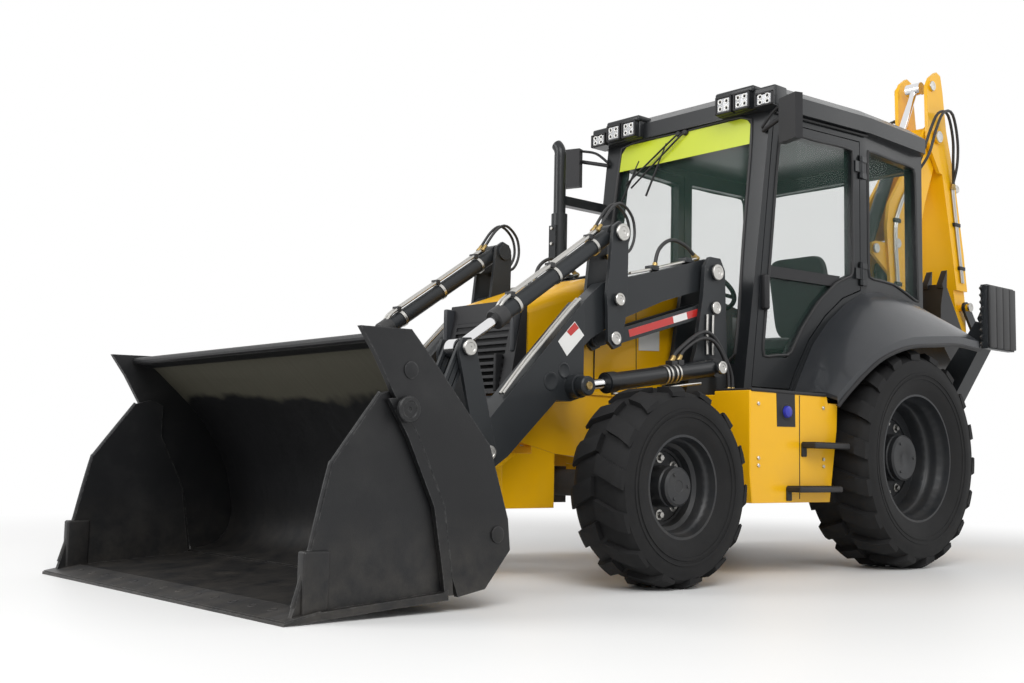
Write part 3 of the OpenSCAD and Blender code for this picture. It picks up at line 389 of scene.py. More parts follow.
# Special finishes
def finish_glass(name, tint):
    """Tinted safety glass: a smooth gloss with little alpha, so most of what lies behind shows."""
    s = Shader(name)
    s.set(Base_Color=tint, Roughness=0.02, IOR=1.45, Metallic=0.0, Alpha=0.1)
    g = s.group(GRAIN, Fine=6.0, Slow=1.5)
    s.bump(g.outputs["Height"], 0.02, 0.001)
    return s.mat


def finish_bucket(name, dark, light, worn, amount, paler_above=None):
    """Digging steel: black paint scraped through in streaks along the blade and, when a height is given, a paler
    brownish grey above that height, made ragged by the tone noise.
    """
    s = Shader(name)
    g = s.group(GRAIN, Fine=220.0, Slow=2.0)
    k = s.group(SCRATCH, Length=1.0, Amount=amount)
    w = s.group(WEAR, Width=0.01, Amount=0.9)
    d = s.group(DUST, Top=0.4, Up=0.1, Amount=0.2)
    c = s.mix(g.outputs["Tone"], dark, light)
    c = s.mix(k.outputs["Mask"], c, worn)
    # A paler brownish grey band above a ragged height, when one is given.
    if paler_above:
        height, ragged = s.node("ShaderNodeSeparateXYZ"), s.node("ShaderNodeMath", operation="MULTIPLY_ADD")
        s.link(s.co, height.inputs[0])
        for socket, v in zip(ragged.inputs, (g.outputs["Tone"], 0.25, height.outputs["Z"])):
            feed(socket, v)
        paler_top = gramp(s.tree, ragged.outputs[0], paler_above + 0.11, paler_above + 0.14)
        c = s.mix(paler_top, c, (0.105, 0.1, 0.075))
    c = s.mix(w.outputs["Mask"], c, (0.09, 0.09, 0.09))
    r = put(s.node("ShaderNodeMapRange"), To_Min=0.32, To_Max=0.6, Value=k.outputs["Streak"])
    s.set(Base_Color=s.mix(d.outputs["Mask"], c, DUST_COLOUR), Roughness=r.outputs[0], Metallic=0.35)
    s.bump(g.outputs["Height"], 0.4, 0.001)
    return s.mat


def finish_tyre(name):
    """Tyre rubber: near-black, matt, browner with dust towards the ground and in the grain."""
    s = Shader(name)
    g = s.group(GRAIN, Fine=240.0, Slow=5.0)
    d = s.group(DUST, Top=1.2, Up=0.05, Amount=0.3)
    c = s.mix(g.outputs["Tone"], (0.006, 0.006, 0.0065), (0.014, 0.014, 0.0145))
    s.set(Base_Color=s.mix(d.outputs["Mask"], c, (0.03, 0.029, 0.028)), Roughness=0.68, Specular_IOR_Level=0.2)
    s.bump(g.outputs["Height"], 0.5, 0.0012)
    return s.mat


def finish_lens_painted_glow(name, strength):
    """A clear lamp lens ribbed by fine waves, which also band its tone; its faint white glow is painted light,
    standing in for the glint of the bright reflector behind it.
    """
    s = Shader(name)
    w = put(s.node("ShaderNodeTexWave", bands_direction="Y"), Scale=40.0, Vector=s.co)
    # The emission is painted light: a faint glow standing in for the reflector's glint.
    s.set(Base_Color=s.mix(w.outputs["Fac"], (0.26, 0.27, 0.28), (0.42, 0.43, 0.45)), Roughness=0.15,
          Emission_Color=(1, 1, 1), Emission_Strength=strength, Coat_Weight=1.0)
    s.bump(w.outputs["Fac"], 0.3, 0.002)
    return s.mat


def finish_fabric(name):
    """Woven seat cloth: a fine diagonal wave gives the weave's height, noise its tone."""
    s = Shader(name)
    g = s.group(GRAIN, Fine=300.0, Slow=6.0)
    w = put(s.node("ShaderNodeTexWave", bands_direction="DIAGONAL"), Scale=180.0, Vector=s.co)
    s.set(Base_Color=s.mix(g.outputs["Tone"], (0.012, 0.012, 0.014), (0.03, 0.03, 0.034)), Roughness=0.85,
          Sheen_Weight=0.3)
    s.bump(w.outputs["Fac"], 0.12, 0.0006)
    return s.mat


GLASS = finish_glass("tinted_glass", (0.06, 0.13, 0.1))
BLACK_STEEL = ((0.006, 0.0062, 0.007), (0.013, 0.0135, 0.015), (0.03, 0.03, 0.03), 0.7)
BUCKET = finish_bucket("bucket_steel", *BLACK_STEEL)
LINER = finish_bucket("liner_steel_paler_top", *BLACK_STEEL, 0.87)
EDGE = finish_bucket("edge_steel", (0.02, 0.02, 0.021), (0.04, 0.04, 0.041), (0.1, 0.1, 0.1), 0.9)
TYRE = finish_tyre("tyre_rubber")
# Lamp lenses with a faint painted glow for the reflector's glint.
LENS_WITH_PAINTED_GLOW = finish_lens_painted_glow("lamp_lens", 0.03)
FABRIC = finish_fabric("seat_cloth")

FINISH = {
    YELLOW: "main_frame hood front_bumper side_boxes swing_post boom dipper",
    GREY: "loader_arms loader_towers levelling_cranks levelling_links tip_levers tip_links stabilizer_left"
          " stabilizer_right guide_links push_link tilt_barrels",
    CAB: "cab_frame door_left door_right cab_roof exhaust_stack lift_barrels boom_barrel dipper_barrel hoe_barrel"
         " leg_barrel_left leg_barrel_right",
    BUCKET: "loader_bucket bucket_jaw hoe_bucket",
    RIM: "front_rim_left front_rim_right rear_rim_left rear_rim_right",
    TYRE: "front_tyre_left front_tyre_right rear_tyre_left rear_tyre_right",
    CHROME: "lift_rods tilt_rods boom_rod dipper_rod hoe_rod leg_rod_left leg_rod_right",
    GLASS: "cab_glass door_left_glass door_right_glass",
    FENDER: "rear_fenders",
    PLASTIC: "grille mirrors steering_console",
    FABRIC: "seat",
    CAST: "engine_block axles knuckle_left knuckle_right",
}
BEVEL = {YELLOW: 0.008, GREY: 0.006, CAB: 0.01, BUCKET: 0.006, RIM: 0.004, PLASTIC: 0.006}
OWN_BEVEL = {"front_bumper": 0.03, "hood": 0.014}
WELD, BEVEL_ANGLE, SPLIT_ANGLE = 0.0002, math.radians(40), math.radians(32)
for finish, names in FINISH.items():
    for node_name in names.split():
        ob = NODES[node_name]
        ob.data.materials.clear()
        ob.data.materials.append(finish)
        ob.modifiers.new("weld", "WELD").merge_threshold = WELD
        if finish in BEVEL:
            bevel = ob.modifiers.new("edge", "BEVEL")
            bevel.width = OWN_BEVEL.get(node_name, BEVEL[finish])
            bevel.segments, bevel.limit_method, bevel.angle_limit = 3, "ANGLE", BEVEL_ANGLE
            bevel.harden_normals = False
            ob.modifiers.new("flat", "WEIGHTED_NORMAL").keep_sharp = True
        else:
            ob.modifiers.new("soft", "EDGE_SPLIT").split_angle = SPLIT_ANGLE
        ob.data.polygons.foreach_set("use_smooth", np.ones(len(ob.data.polygons), bool))


# Trim on the frame, in millimetres from the rear axle's plumb line
def V(x, y, z):
    """A point given in millimetres from the rear axle's plumb line."""
    return np.array([x / 1000 - OX, y / 1000, z / 1000])


def VV(pts):
    """Rows of V for a list of points."""
    return np.array([V(*p) for p in pts])


def pipe(batch, pts, r, n=40):
    """A round tube of radius r mm on a smooth curve through pts."""
    batch.grid(sweep(spline(VV(pts), n), r / 1000, 10), wrap_v=True, caps=True)


def turned(batch, profile, centre, axis, n=32):
    """A turned piece; profile rows are (radius, height) in mm, and one that stays off the axis closes to a ring."""
    rows = np.asarray(profile, float) / 1000
    ring = rows[0, 0] > 0 and rows[-1, 0] > 0
    batch.grid(revolve(rows, V(*centre), axis, n), wrap_u=True, wrap_v=ring)


def boss(batch, s, profile, x, y, z, n=32):
    """A turned piece that faces outwards on side s, its foot y mm from the middle."""
    turned(batch, profile, (x, s * y, z), (0, s, 0), n)


def block(batch, lo, hi, r=4):
    """A box with round edges between two corners: the grid of rbox with its flat top and bottom."""
    P = rbox(V(*lo), V(*hi), r / 1000)
    n, m = P.shape[:2]
    ends = [tuple(range(0, n * m, m))[::-1], tuple(range(m - 1, n * m, m))]
    batch.raw(P.reshape(-1, 3), grid_faces(n, m, wrap_u=True) + ends)


def side_block(batch, s, x, y, z, r=4):
    """A block on side s; x, y and z are pairs, y counted from the middle."""
    a, b = sorted((s * y[0], s * y[1]))
    block(batch, (x[0], a, z[0]), (x[1], b, z[1]), r)


def slab(batch, front, back):
    """A closed plate between two outlines with the same number of points."""
    n = len(front)
    rim = [(k, (k + 1) % n, n + (k + 1) % n, n + k) for k in range(n)]
    batch.raw(VV([*front, *back]), [tuple(range(n))[::-1], tuple(range(n, 2 * n)), *rim])


def sheet(batch, pts, normal, t):
    """A flat plate: an outline pushed t mm along its normal."""
    P = np.asarray(pts, float)
    slab(batch, P, P + np.asarray(normal, float) * t)


def side_sheet(batch, s, y, outline, t):
    """A flat plate on side s: an (x, z) outline y mm from the middle, t mm thick."""
    sheet(batch, [(x, s * y, z) for x, z in outline], (0, s, 0), t)


def pin_head(batch, s, p, y, r, h=9):
    """A pin's round head with a raised rim and a grease dimple, facing outwards on side s."""
    boss(batch, s, [(0, h * 0.5), (r * 0.16, h * 0.5), (r * 0.2, h * 0.75), (r * 0.6, h * 0.75), (r * 0.66, h),
                    (r * 0.92, h), (r, h * 0.7), (r, -4), (0, -4)], p[0], y, p[1])


def pin_heads(prefix, spots):
    """Zinc heads on both ends of each pin, one piece for each body; a spot is (body, (x, z), y, radius)."""
    for body in sorted({q[0] for q in spots}):
        b = Batch()
        for _, p, y, r in (q for q in spots if q[0] == body):
            for s in SIDES:
                pin_head(b, s, p, y, r)
        b.make(prefix + body, STEEL, body)


def along(a, b):
    """The direction from a to b in the (x, z) plane, and the point t mm along that line and h mm above it."""
    d = np.array(b, float) - a
    d /= np.linalg.norm(d)
    up = np.array([-d[1], d[0]])
    return d, lambda t, h=0: np.array(a) + d * t + up * h


SIDES, NAMED_SIDES = (1, -1), ((1, "left"), (-1, "right"))
TOWER, TOWER_LOW = (1316, 1689), (1324, 1484)
CRANK, CRANK_TOP, CRANK_LOW = (2118, 1453), (2093, 1814), (2126, 1248)
LIFT_REAR, LIFT_FRONT, LEVER, LEVER_TOP, JAW = (1399, 1136), (2408, 982), (2994, 637), (3127, 1125), (3904, 795)
ARM_Y, LIFT_Y = 470, 618
PIPE_R, HOSE_R = 8, 11


def loader_pins():
    """Heads on the loader's pins, each riding the body that owns the pin, the jaw's caps and the lift eyes."""
    pin_heads("pin_heads_", (
        ("chassis", TOWER, 582, 46), ("chassis", TOWER_LOW, 578, 36), ("chassis", LIFT_REAR, 683, 36),
        ("loader_arms", CRANK, 578, 34), ("loader_arms", LEVER, 578, 34), ("levelling_cranks", CRANK_TOP, 573, 46),
        ("levelling_cranks", CRANK_LOW, 559, 36), ("tip_levers", LEVER_TOP, 575, 38)))
    caps, ring, core = Batch(), Batch(), Batch()
    eye = ((44.5, -25), (48, -25), (50, -20), (50, 24), (44, 30), (22, 30), (22, 26))
    for s in SIDES:
        pin_head(caps, s, JAW, 1145, 52, 16)
        boss(ring, s, eye, LIFT_FRONT[0], LIFT_Y, LIFT_FRONT[1])
        pin_head(core, s, LIFT_FRONT, 647, 21, 8)
    caps.make("bucket_pin_caps", BUCKET, "bucket_jaw")
    ring.make("lift_eye_rings", GREY, "lift_rods")
    core.make("lift_eye_pins", BRASS, "lift_rods")


def tilt_hydraulics():
    """Steel pipes and clamps along the tilt barrels, glands at their mouths and hose loops over the crank tops."""
    d, at = along(CRANK_TOP, LEVER_TOP)
    axis = (d[0], 0, d[1])
    steel, black = Batch(), Batch()
    run = [at(t, h) for t, h in ((70, 66), (160, 62), (400, 60), (700, 60), (850, 58), (905, 40))]
    gland = ((26, -46), (50, -46), (52, -40), (52, 22), (46, 28), (26, 28))
    arc = ((*at(80, 66), 1), (2100, 1950, 1), (2020, 1990, 1), (1935, 1930, 1), (1915, 1830, 1), (1960, 1745, 1.5),
           (2050, 1705, 2.6))
    for s, side in NAMED_SIDES:
        y = s * ARM_Y
        for off in (-14, 14):
            pipe(steel, [(p[0], y + off, p[1]) for p in run], PIPE_R, 50)
        for t in (150, 480, 800):
            c = at(t)
            turned(steel, [(43, -9), (48, -9), (48, 9), (43, 9)], (c[0], y, c[1]), axis)
            c = at(t, 58)
            block(black, (c[0] - 14, y - 26, c[1] - 14), (c[0] + 14, y + 26, c[1] + 14))
        c = at(935)
        turned(black, gland, (c[0], y, c[1]), axis)
        for off, tag in ((-20, "b"), (20, "a")):
            hose(f"crank_hose_{side}_{tag}", [(x, y + off * k, z) for x, z, k in arc], 8, "tilt_barrels")
    steel.make("tilt_pipes", STEEL, "tilt_barrels")
    black.make("tilt_hoses", HOSE, "tilt_barrels")


def lift_hydraulics():
    """Clamps and a return pipe on the lift barrels, with two hoses up to the tower."""
    d, at = along(LIFT_REAR, LIFT_FRONT)
    steel, black = Batch(), Batch()
    run = [at(t, h) for t, h in ((120, -74), (300, -70), (620, -72), (760, -66), (830, -58))]
    for s, side in NAMED_SIDES:
        y = s * LIFT_Y
        for t in (330, 360, 400, 430):
            c = at(t)
            turned(steel, [(49, -6), (54, -6), (54, 6), (49, 6)], (c[0], y, c[1]), (d[0], 0, d[1]))
        pipe(steel, [(p[0], y, p[1]) for p in run], PIPE_R)
        for off, t, tag in ((0, 290, "a"), (34, 345, "b")):
            x, z = at(t, 66)
            hose(f"lift_hose_{side}_{tag}", [
                (x, y, z), (x - 50, y, z + 62), (1510, y, 1290 + off), (1400, s * 622, 1285 + off * 0.8),
                (1315 - off * 0.4, s * 626, 1200), (1280 - off, s * 628, 1100), (1275 - off, s * 630, 1000)],
                HOSE_R, "lift_barrels", "chassis")
            block(black, (x - 22, y - 26, z - 30), (x + 22, y + 26, z + 4))
    steel.make("lift_pipes", STEEL, "lift_barrels")
    black.make("lift_hoses", HOSE, "lift_barrels")


def arm_trim():
    """On the arms and towers: pipes, a hose over the top, a blank label with a red corner, bosses and the red bar."""
    steel, white, red, dark, tower, bar, patch = (Batch() for _ in range(7))
    arc = ((1750, 486, 1668), (1715, 490, 1780), (1618, 492, 1845), (1490, 488, 1830), (1390, 486, 1770))
    runs = ((500, ((2345, 1440), (2450, 1345), (2700, 1098), (2860, 925))),
            (480, ((1400, 1768), (1500, 1738), (1800, 1656), (1950, 1620))))
    face, bar_face = 529.5, 531
    _, at = along(TOWER_LOW, CRANK_LOW)
    for s, side in NAMED_SIDES:
        hose("arm_top_hose_" + side, [(x, s * y, z) for x, y, z in arc], HOSE_R, "loader_arms")
        for x in (1345, 1395):
            pipe(tower, [(x, s * 573, 1440), (x + 4, s * 574, 1330), (x, s * 573, 1215)], PIPE_R, 16)
        for off in (-12, 12):
            for y, run in runs:
                pipe(steel, [(x, s * y + off, z) for x, z in run], PIPE_R)
        for x, z in ((1480, 1745), (1760, 1668)):
            block(dark, (x - 25, s * 480 - 32, z - 12), (x + 25, s * 480 + 32, z + 16))
        side_sheet(white, s, face, ((2401, 1315), (2332, 1249), (2453, 1134), (2516, 1204)), 2)
        side_sheet(red, s, face, ((2401, 1310), (2371, 1283), (2428, 1238), (2458, 1258)), 3)
        for x, z, r in ((2470, 1060, 34), (2560, 1000, 42)):
            cup = ((0, 1), (r * 0.8, 1), (r, 4), (r + 5, 3), (r + 7, 0), (r + 7, -3), (0, -3))
            boss(dark, s, cup, x, 530, z)
        for batch, t0, t1, h, thick in ((bar, 70, 700, 20, 2.5), (patch, 210, 330, 19, 3.5)):
            corners = [at(t, k) for t, k in ((t0, -h), (t1, -h), (t1, h), (t0, h))]
            side_sheet(batch, s, bar_face, corners, thick)
    tower.make("tower_pipes", STEEL)
    steel.make("arm_pipes", STEEL, "loader_arms")
    white.make("arm_labels", LABEL, "loader_arms")
    red.make("arm_label_corners", RED, "loader_arms")
    dark.make("arm_bosses", GREY, "loader_arms")
    bar.make("levelling_bar_red", RED, "levelling_links")
    patch.make("levelling_bar_label", LABEL, "levelling_links")


# Cab, hood and steps
def screen_x(z, o=0.0):
    """The windscreen wall leans back: x falls by 0.133 for each unit of height."""
    return 1170 - 0.13316 * (z - 900) + o


def side_y(x, o=0.0):
    """The cab's side wall narrows to the front and to the rear of its widest place."""
    return (752 - (x - 60) * 0.10175 if x > 60 else 752 + (x - 60) * 0.06184) + o


def loop(batch, pts, r):
    """A rubber strip round a closed outline, its corners turned by a curve."""
    p = VV(pts)
    q = np.roll(p, -1, axis=0)
    ring = np.stack([p * 0.94 + q * 0.06, p * 0.5 + q * 0.5, p * 0.06 + q * 0.94], 1).reshape(-1, 3)
    path = spline(np.vstack([ring, ring[:1]]), 12 * len(p))
    batch.grid(sweep(path, r / 1000, 8), wrap_v=True, caps=True)


DOOR_WIN = ((1000, 1230), (848, 2580), (190, 2580), (190, 1790), (350, 1720), (510, 1590), (650, 1430), (770, 1250))
SIDE_WIN = ((30, 1790), (30, 2600), (-600, 2600), (-630, 1700), (-300, 1780))
DOOR_BAR = ((330, 1700), (945, 1700), (938, 1768), (300, 1768))
SCREEN = ((-560, 1180), (560, 1180), (535, 2692), (-535, 2692))
REAR_WIN = ((-610, 1500), (610, 1500), (610, 2600), (-610, 2600))
VISOR_STRIP = ((-532, 2512), (532, 2512), (530, 2630), (485, 2684), (-485, 2684), (-530, 2630))
LAMPS = ((330, 450, 2708, 2818, 1025), (465, 585, 2708, 2818, 1025), (612, 742, 2702, 2787, 1010))


def roof_lamps(s, lens, cups, bezel):
    """Three lamps on one side: a lens with four cups, a frame round it and fins on top; rows are y, y, z, z, x."""
    cup, wide = ((0, 1), (9, 1), (13, 4), (16, 3), (16, -3), (0, -3)), 12
    for y0, y1, z0, z1, x in LAMPS:
        a, b = sorted((s * y0, s * y1))
        block(lens, (x - 4, a + 14, z0 + 13), (x + 7, b - 14, z1 - 13), 5)
        for dy in (-0.2, 0.2):
            for dz in (-0.2, 0.2):
                spot = (x + 6, (a + b) / 2 + dy * (b - a), (z0 + z1) / 2 + dz * (z1 - z0))
                turned(cups, cup, spot, (1, 0, 0), 20)
        for lo, hi in (((a, z0), (b, z0 + wide)), ((a, z1 - wide), (b, z1)), ((a, z0), (a + wide, z1)),
                       ((b - wide, z0), (b, z1))):
            block(bezel, (x - 6, *lo), (x + 12, *hi))
        for k in range(5):
            y = a + 14 + (b - a - 28) * (k + 0.5) / 5
            block(bezel, (x - 70, y - 4, z1 - 2), (x - 12, y + 4, z1 + 9), 3)


def cab_trim():
    """Roof pods with lamps, visor strip, wipers, rubber seals, mirror stays, gutter, door bars and handles."""
    lens, bezel, seal, visor, wiper, pod, cups = (Batch() for _ in range(7))
    for s in SIDES:
        roof_lamps(s, lens, cups, bezel)
        side_block(pod, s, (820, 1018), (312, 604), (2806, 2850), 16)
        side_block(pod, s, (880, 1000), (318, 748), (2703, 2826), 12)
        pipe(wiper, [(968, s * 628, 2590), (985, s * 730, 2668), (1022, s * 850, 2700)], 9, 24)
        loop(seal, [(x, s * side_y(x, 1), z) for x, z in SIDE_WIN], 9)
        pipe(seal, [(x, s * side_y(x, 12), 2690) for x in (900, 600, 300, 60)], 9, 30)
    for y0, z0, y1, z1 in ((20, 2680, -400, 2380), (-35, 2680, -450, 2410)):
        knee = (screen_x(z0 - 60, 26), y0 * 0.86 + y1 * 0.14, z0 - 45)
        pipe(wiper, [(screen_x(z0, 16), y0, z0), knee, (screen_x(z1, 14), y1, z1)], 6, 30)
        pivot = ((0, 22), (14, 22), (20, 14), (20, -6), (0, -6))
        turned(wiper, pivot, (screen_x(z0, 2), y0, z0), (1, 0, 0.13))
    for y0, z0, y1, z1 in ((-365, 2560, -495, 2290), (-140, 2640, -275, 2310)):
        middle = ((y0 + y1) / 2, (z0 + z1) / 2)
        pipe(wiper, [(screen_x(z), y, z) for y, z in ((y0, z0), middle, (y1, z1))], 7, 20)
    loop(seal, [(screen_x(z, 1), y, z) for y, z in SCREEN], 10)
    loop(seal, [(-701, y, z) for y, z in REAR_WIN], 10)
    sheet(visor, [(screen_x(z, 0.5), y, z) for y, z in VISOR_STRIP], (0.99, 0, 0.13), 3)
    lens.make("roof_lamp_lenses", LENS_WITH_PAINTED_GLOW)
    cups.make("roof_lamp_cups", LABEL)
    pod.make("roof_pods", CAB)
    bezel.make("roof_lamp_bezels", PLASTIC)
    seal.make("window_seals", HOSE)
    visor.make("sun_visor_strip", VISOR, smooth=False)
    wiper.make("wipers", PLASTIC)
    for s, side in NAMED_SIDES:
        b, h = Batch(), Batch()
        loop(b, [(x, s * side_y(x, 1), z) for x, z in DOOR_WIN], 9)
        b.make("door_seal_" + side, HOSE, "door_" + side)
        a, c = sorted((s * side_y(985, -4), s * side_y(985, 34)))
        block(h, (966, a - 6, 1500), (1010, c, 1705), 14)
        slab(h, *([(x, s * side_y(x, o), z) for x, z in DOOR_BAR] for o in (-44, -8)))
        h.make("door_bar_and_handle_" + side, PLASTIC, "door_" + side)


def hood_trim():
    """Hood seams and latch, grille bars, blank side panels, and bolts on the exhaust's strap and the bumper."""
    dark, pale, bolts, grey = Batch(), Batch(), Batch(), Batch()
    face = 339
    for s in SIDES:
        side_sheet(pale, s, face, ((1540, 1235), (1710, 1226), (1710, 1400), (1540, 1414)), 4)
        side_sheet(dark, s, face, ((1722, 970), (1728, 970), (1738, 1520), (1732, 1520)), 2)
        side_block(grey, s, (2545, 2607), (262, 290), (1160, 1420), 8)
        boss(dark, s, [(0, 6), (26, 6), (32, 2), (32, -3), (0, -3)], 2240, 338, 1130)
    for y in (-200, 200):
        block(dark, (2600, y - 10, 955), (2652, y + 10, 1150), 6)
    seam = ((-341, 990), (-341, 1490), (-300, 1570), (0, 1602), (300, 1570), (341, 1490), (341, 990))
    pipe(dark, [(2064, y, z) for y, z in seam], 4, 60)
    hexes(bolts, [V(1458, -647, z) for z in (1650, 1760, 1870, 1980, 2080)], (1, 0, 0), 0.011, 0.009)
    hexes(bolts, [V(2500, y, 678) for y in (-260, -180, 180, 260)], (0, 0, 1), 0.014, 0.012)
    dark.make("hood_details", PLASTIC)
    pale.make("hood_side_panels", LABEL, smooth=False)
    bolts.make("front_bolts", STEEL)
    grey.make("grille_side_bars", FENDER)


def side_box_trim():
    """Ribbed steps on brackets, black top strip, filler cap on its dark plate, box seams and bolts."""
    dark, blue, bolts = Batch(), Batch(), Batch()
    face, ribs = 949, 12
    for s in SIDES:
        for x0, x1, z in ((700, 1040, 716), (775, 1180, 474)):
            side_block(dark, s, (x1 - 42, x1), (940, 962), (z - 64, z + 10), 6)
            side_block(dark, s, (x0, x1), (940, 1046), (z - 16, z + 14), 8)
            a, b = sorted((s * 940, s * 1046))
            for k in range(ribs):
                x = x0 + (x1 - x0) * (k + 0.5) / ribs
                block(dark, (x - 5, a + 8, z + 10), (x + 5, b - 6, z + 19), 3)
        side_block(dark, s, (800, 1490), (700, 956), (994, 1012), 6)
        side_sheet(dark, s, face, ((1095, 815), (1262, 812), (1268, 1000), (1100, 1000)), 3)
        boss(blue, s, [(0, 26), (20, 26), (30, 20), (33, 12), (33, -4), (0, -4)], 1180, 951, 895)
        boss(dark, s, [(34, 4), (44, 4), (48, 0), (48, -4), (34, -4)], 1180, 951, 895)
        side_sheet(dark, s, face, ((1052, 420), (1058, 420), (1058, 990), (1052, 990)), 2.5)
        hexes(bolts, [V(x, s * 950, z) for x in (830, 1430) for z in (600, 640, 930)], (0, s, 0), 0.011, 0.008)
    dark.make("step_treads", PLASTIC)
    blue.make("filler_caps", BLUE)
    bolts.make("box_bolts", STEEL)


# Wheels, buckets, legs and hoe
def hose(name, pts, r, body, far=None, n=32):
    """A hose from one fitting to another on the machine: a tube on a curve, with a fitting at each end."""
    path = spline(VV(pts), n)
    b = Batch()
    b.grid(sweep(path, r / 1000, 12), wrap_v=True, caps=True)
    ob = b.make(name, HOSE, None if far else body)
    if far:
        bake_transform(ob)
    fitting = np.array([(0, -34), (r * 1.25, -34), (r * 1.35, -30), (r * 1.35, -6), (r * 1.7, -4), (r * 1.7, 9),
                        (0, 9)]) / 1000
    for tag, a, c, on in (("near", path[0], path[1], body), ("far", path[-1], path[-2], far or body)):
        ends = Batch()
        ends.grid(revolve(fitting, a, (a - c) / np.linalg.norm(a - c), 24), wrap_u=True)
        ends.make(f"{name}_fitting_{tag}", BRASS, on)


WASHER = np.array([(0.016, 0), (0.026, 0), (0.026, 0.005), (0.016, 0.006)])
# axle x and height, wheel's middle y, disc's face, nut ring, nuts, hub radius, first band's radius and height, slope
WHEELS = {"front": (2175, 490, 927.5, -16, 140, 8, 96, 338, 165.5, 0.115),
          "rear": (0, 660, 880, -36, 212, 12, 138, 474, 209.5, 0.17)}


def circle(n, turn=0.0):
    """Cosines and sines of n even steps round a circle, turned by a share of a step."""
    t = 2 * np.pi * (np.arange(n) + turn) / n
    return list(zip(np.cos(t), np.sin(t)))


def wheels():
    """Wheel nuts, a step ring and hub drum on each disc, raised bands on each sidewall."""
    for tag, (x, z, yc, face, ring, nuts, hub, r0, h0, slope) in WHEELS.items():
        step = ((ring + 34, -3), (ring + 36, 9), (ring + 52, 9), (ring + 54, -3))
        drum = ((0, 126), (hub * 0.3, 126), (hub * 0.34, 129), (hub - 12, 129), (hub, 120), (hub, 92), (hub + 6, 86),
                (hub + 6, -3), (0, -3))
        for s, side in NAMED_SIDES:
            body = f"{tag}_wheel_{side}"
            nut, cap, band = Batch(), Batch(), Batch()
            y = yc + face
            spots = [V(x + ring * c, s * y, z + ring * k) for c, k in circle(nuts)]
            hexes(nut, spots, (0, s, 0), 0.017, 0.022)
            for p in spots:
                nut.grid(revolve(WASHER, p, (0, s, 0), 20), wrap_u=True, wrap_v=True)
            boss(cap, s, step, x, y, z, 64)
            boss(cap, s, drum, x, y, z, 64)
            screws = [V(x + hub * 0.7 * c, s * (y + 128), z + hub * 0.7 * k) for c, k in circle(3, 0.5)]
            hexes(cap, screws, (0, s, 0), 0.009, 0.007)
            for k in (0, 26):
                r, h = r0 + k, h0 + k * slope
                boss(band, s, [(r, h), (r + 2, h + 5), (r + 13, h + 6.5), (r + 15, h + 1.5)], x, yc, z, 96)
            nut.make(f"{tag}_wheel_nuts_{side}", STEEL, body)
            cap.make(f"{tag}_hub_cap_{side}", RIM, body)
            band.make(f"{tag}_sidewall_bands_{side}", TYRE, body)


CHEEK = ((3643, 66), (3655, 165), (3700, 420), (3840, 700), (3950, 838), (3985, 835), (3888, 690), (3750, 415),
         (3702, 165), (3686, 66))
JAW_EDGE = ((3998, 856), (4107, 717), (4205, 590), (4216, 572), (4253, 430), (4286, 290), (4291, 270), (4356, 60))
MOULDBOARD = ((3640, 84), (3500, 110), (3425, 170), (3390, 260), (3400, 380), (3440, 530), (3518, 675), (3625, 812),
              (3790, 962), (3890, 1040), (3985, 1056))
BLADE_UP = (0.17, 0, 0.98)


def buckets():
    """On the loader bucket: top roll, cheek edges and discs, liner, side cutters, cutting edge and its bolts."""
    rim, bolts, lip, liner, cheek, edge = (Batch() for _ in range(6))
    pipe(rim, [(4000, y, 1078) for y in (-1100, 0, 1100)], 17, 8)
    for s in SIDES:
        pipe(lip, [(x, s * 1086.5, z) for x, z in JAW_EDGE], 10, 60)
        side_sheet(cheek, s, 1106, CHEEK, 23)
        side_block(lip, s, (4215, 4330), (1062, 1112), (18, 262), 10)
        for x, y, z in ((3884, 1129, 950), (3420, 1131, 300)):
            boss(rim, s, [(0, 8), (26, 8), (34, 5), (34, -2), (0, -2)], x, y, z)
    countersunk = ((0, 2), (10, 2), (12, 5), (19, 5), (22, 2), (22, -3), (0, -3))
    for y in np.linspace(-1050, 1050, 15):
        turned(bolts, countersunk, (4325, y, 29), BLADE_UP, 20)
    inner = spline(VV([(x + 22, 0, z + 12) for x, z in MOULDBOARD]), 72)
    n = np.gradient(inner, axis=0)
    n = np.stack([n[:, 2], 0 * n[:, 0], -n[:, 0]], 1) / np.linalg.norm(n, axis=1)[:, None]
    across = np.linspace(-1.1, 1.1, 12)[None, :, None] * np.array([0, 1.0, 0])
    back = inner[:, None] - 0.012 * n[:, None]
    liner.grid(np.concatenate([inner[:, None] + across, back + across[:, ::-1]], 1), wrap_v=True, caps=True)
    liner.make("bucket_liner", LINER, "loader_bucket")
    cheek.make("bucket_cheek_edges", BUCKET, "loader_bucket", smooth=False)
    sheet(edge, [(4258, -1127, 41), (4412, -1127, 13.5), (4412, 1127, 13.5), (4258, 1127, 41)], BLADE_UP, 4)
    edge.make("cutting_edge_strip", EDGE, "bucket_jaw", smooth=False)
    rim.make("bucket_top_roll", BUCKET, "loader_bucket")
    lip.make("jaw_side_cutters", BUCKET, "bucket_jaw")
    bolts.make("cutting_edge_bolts", PLASTIC, "bucket_jaw")


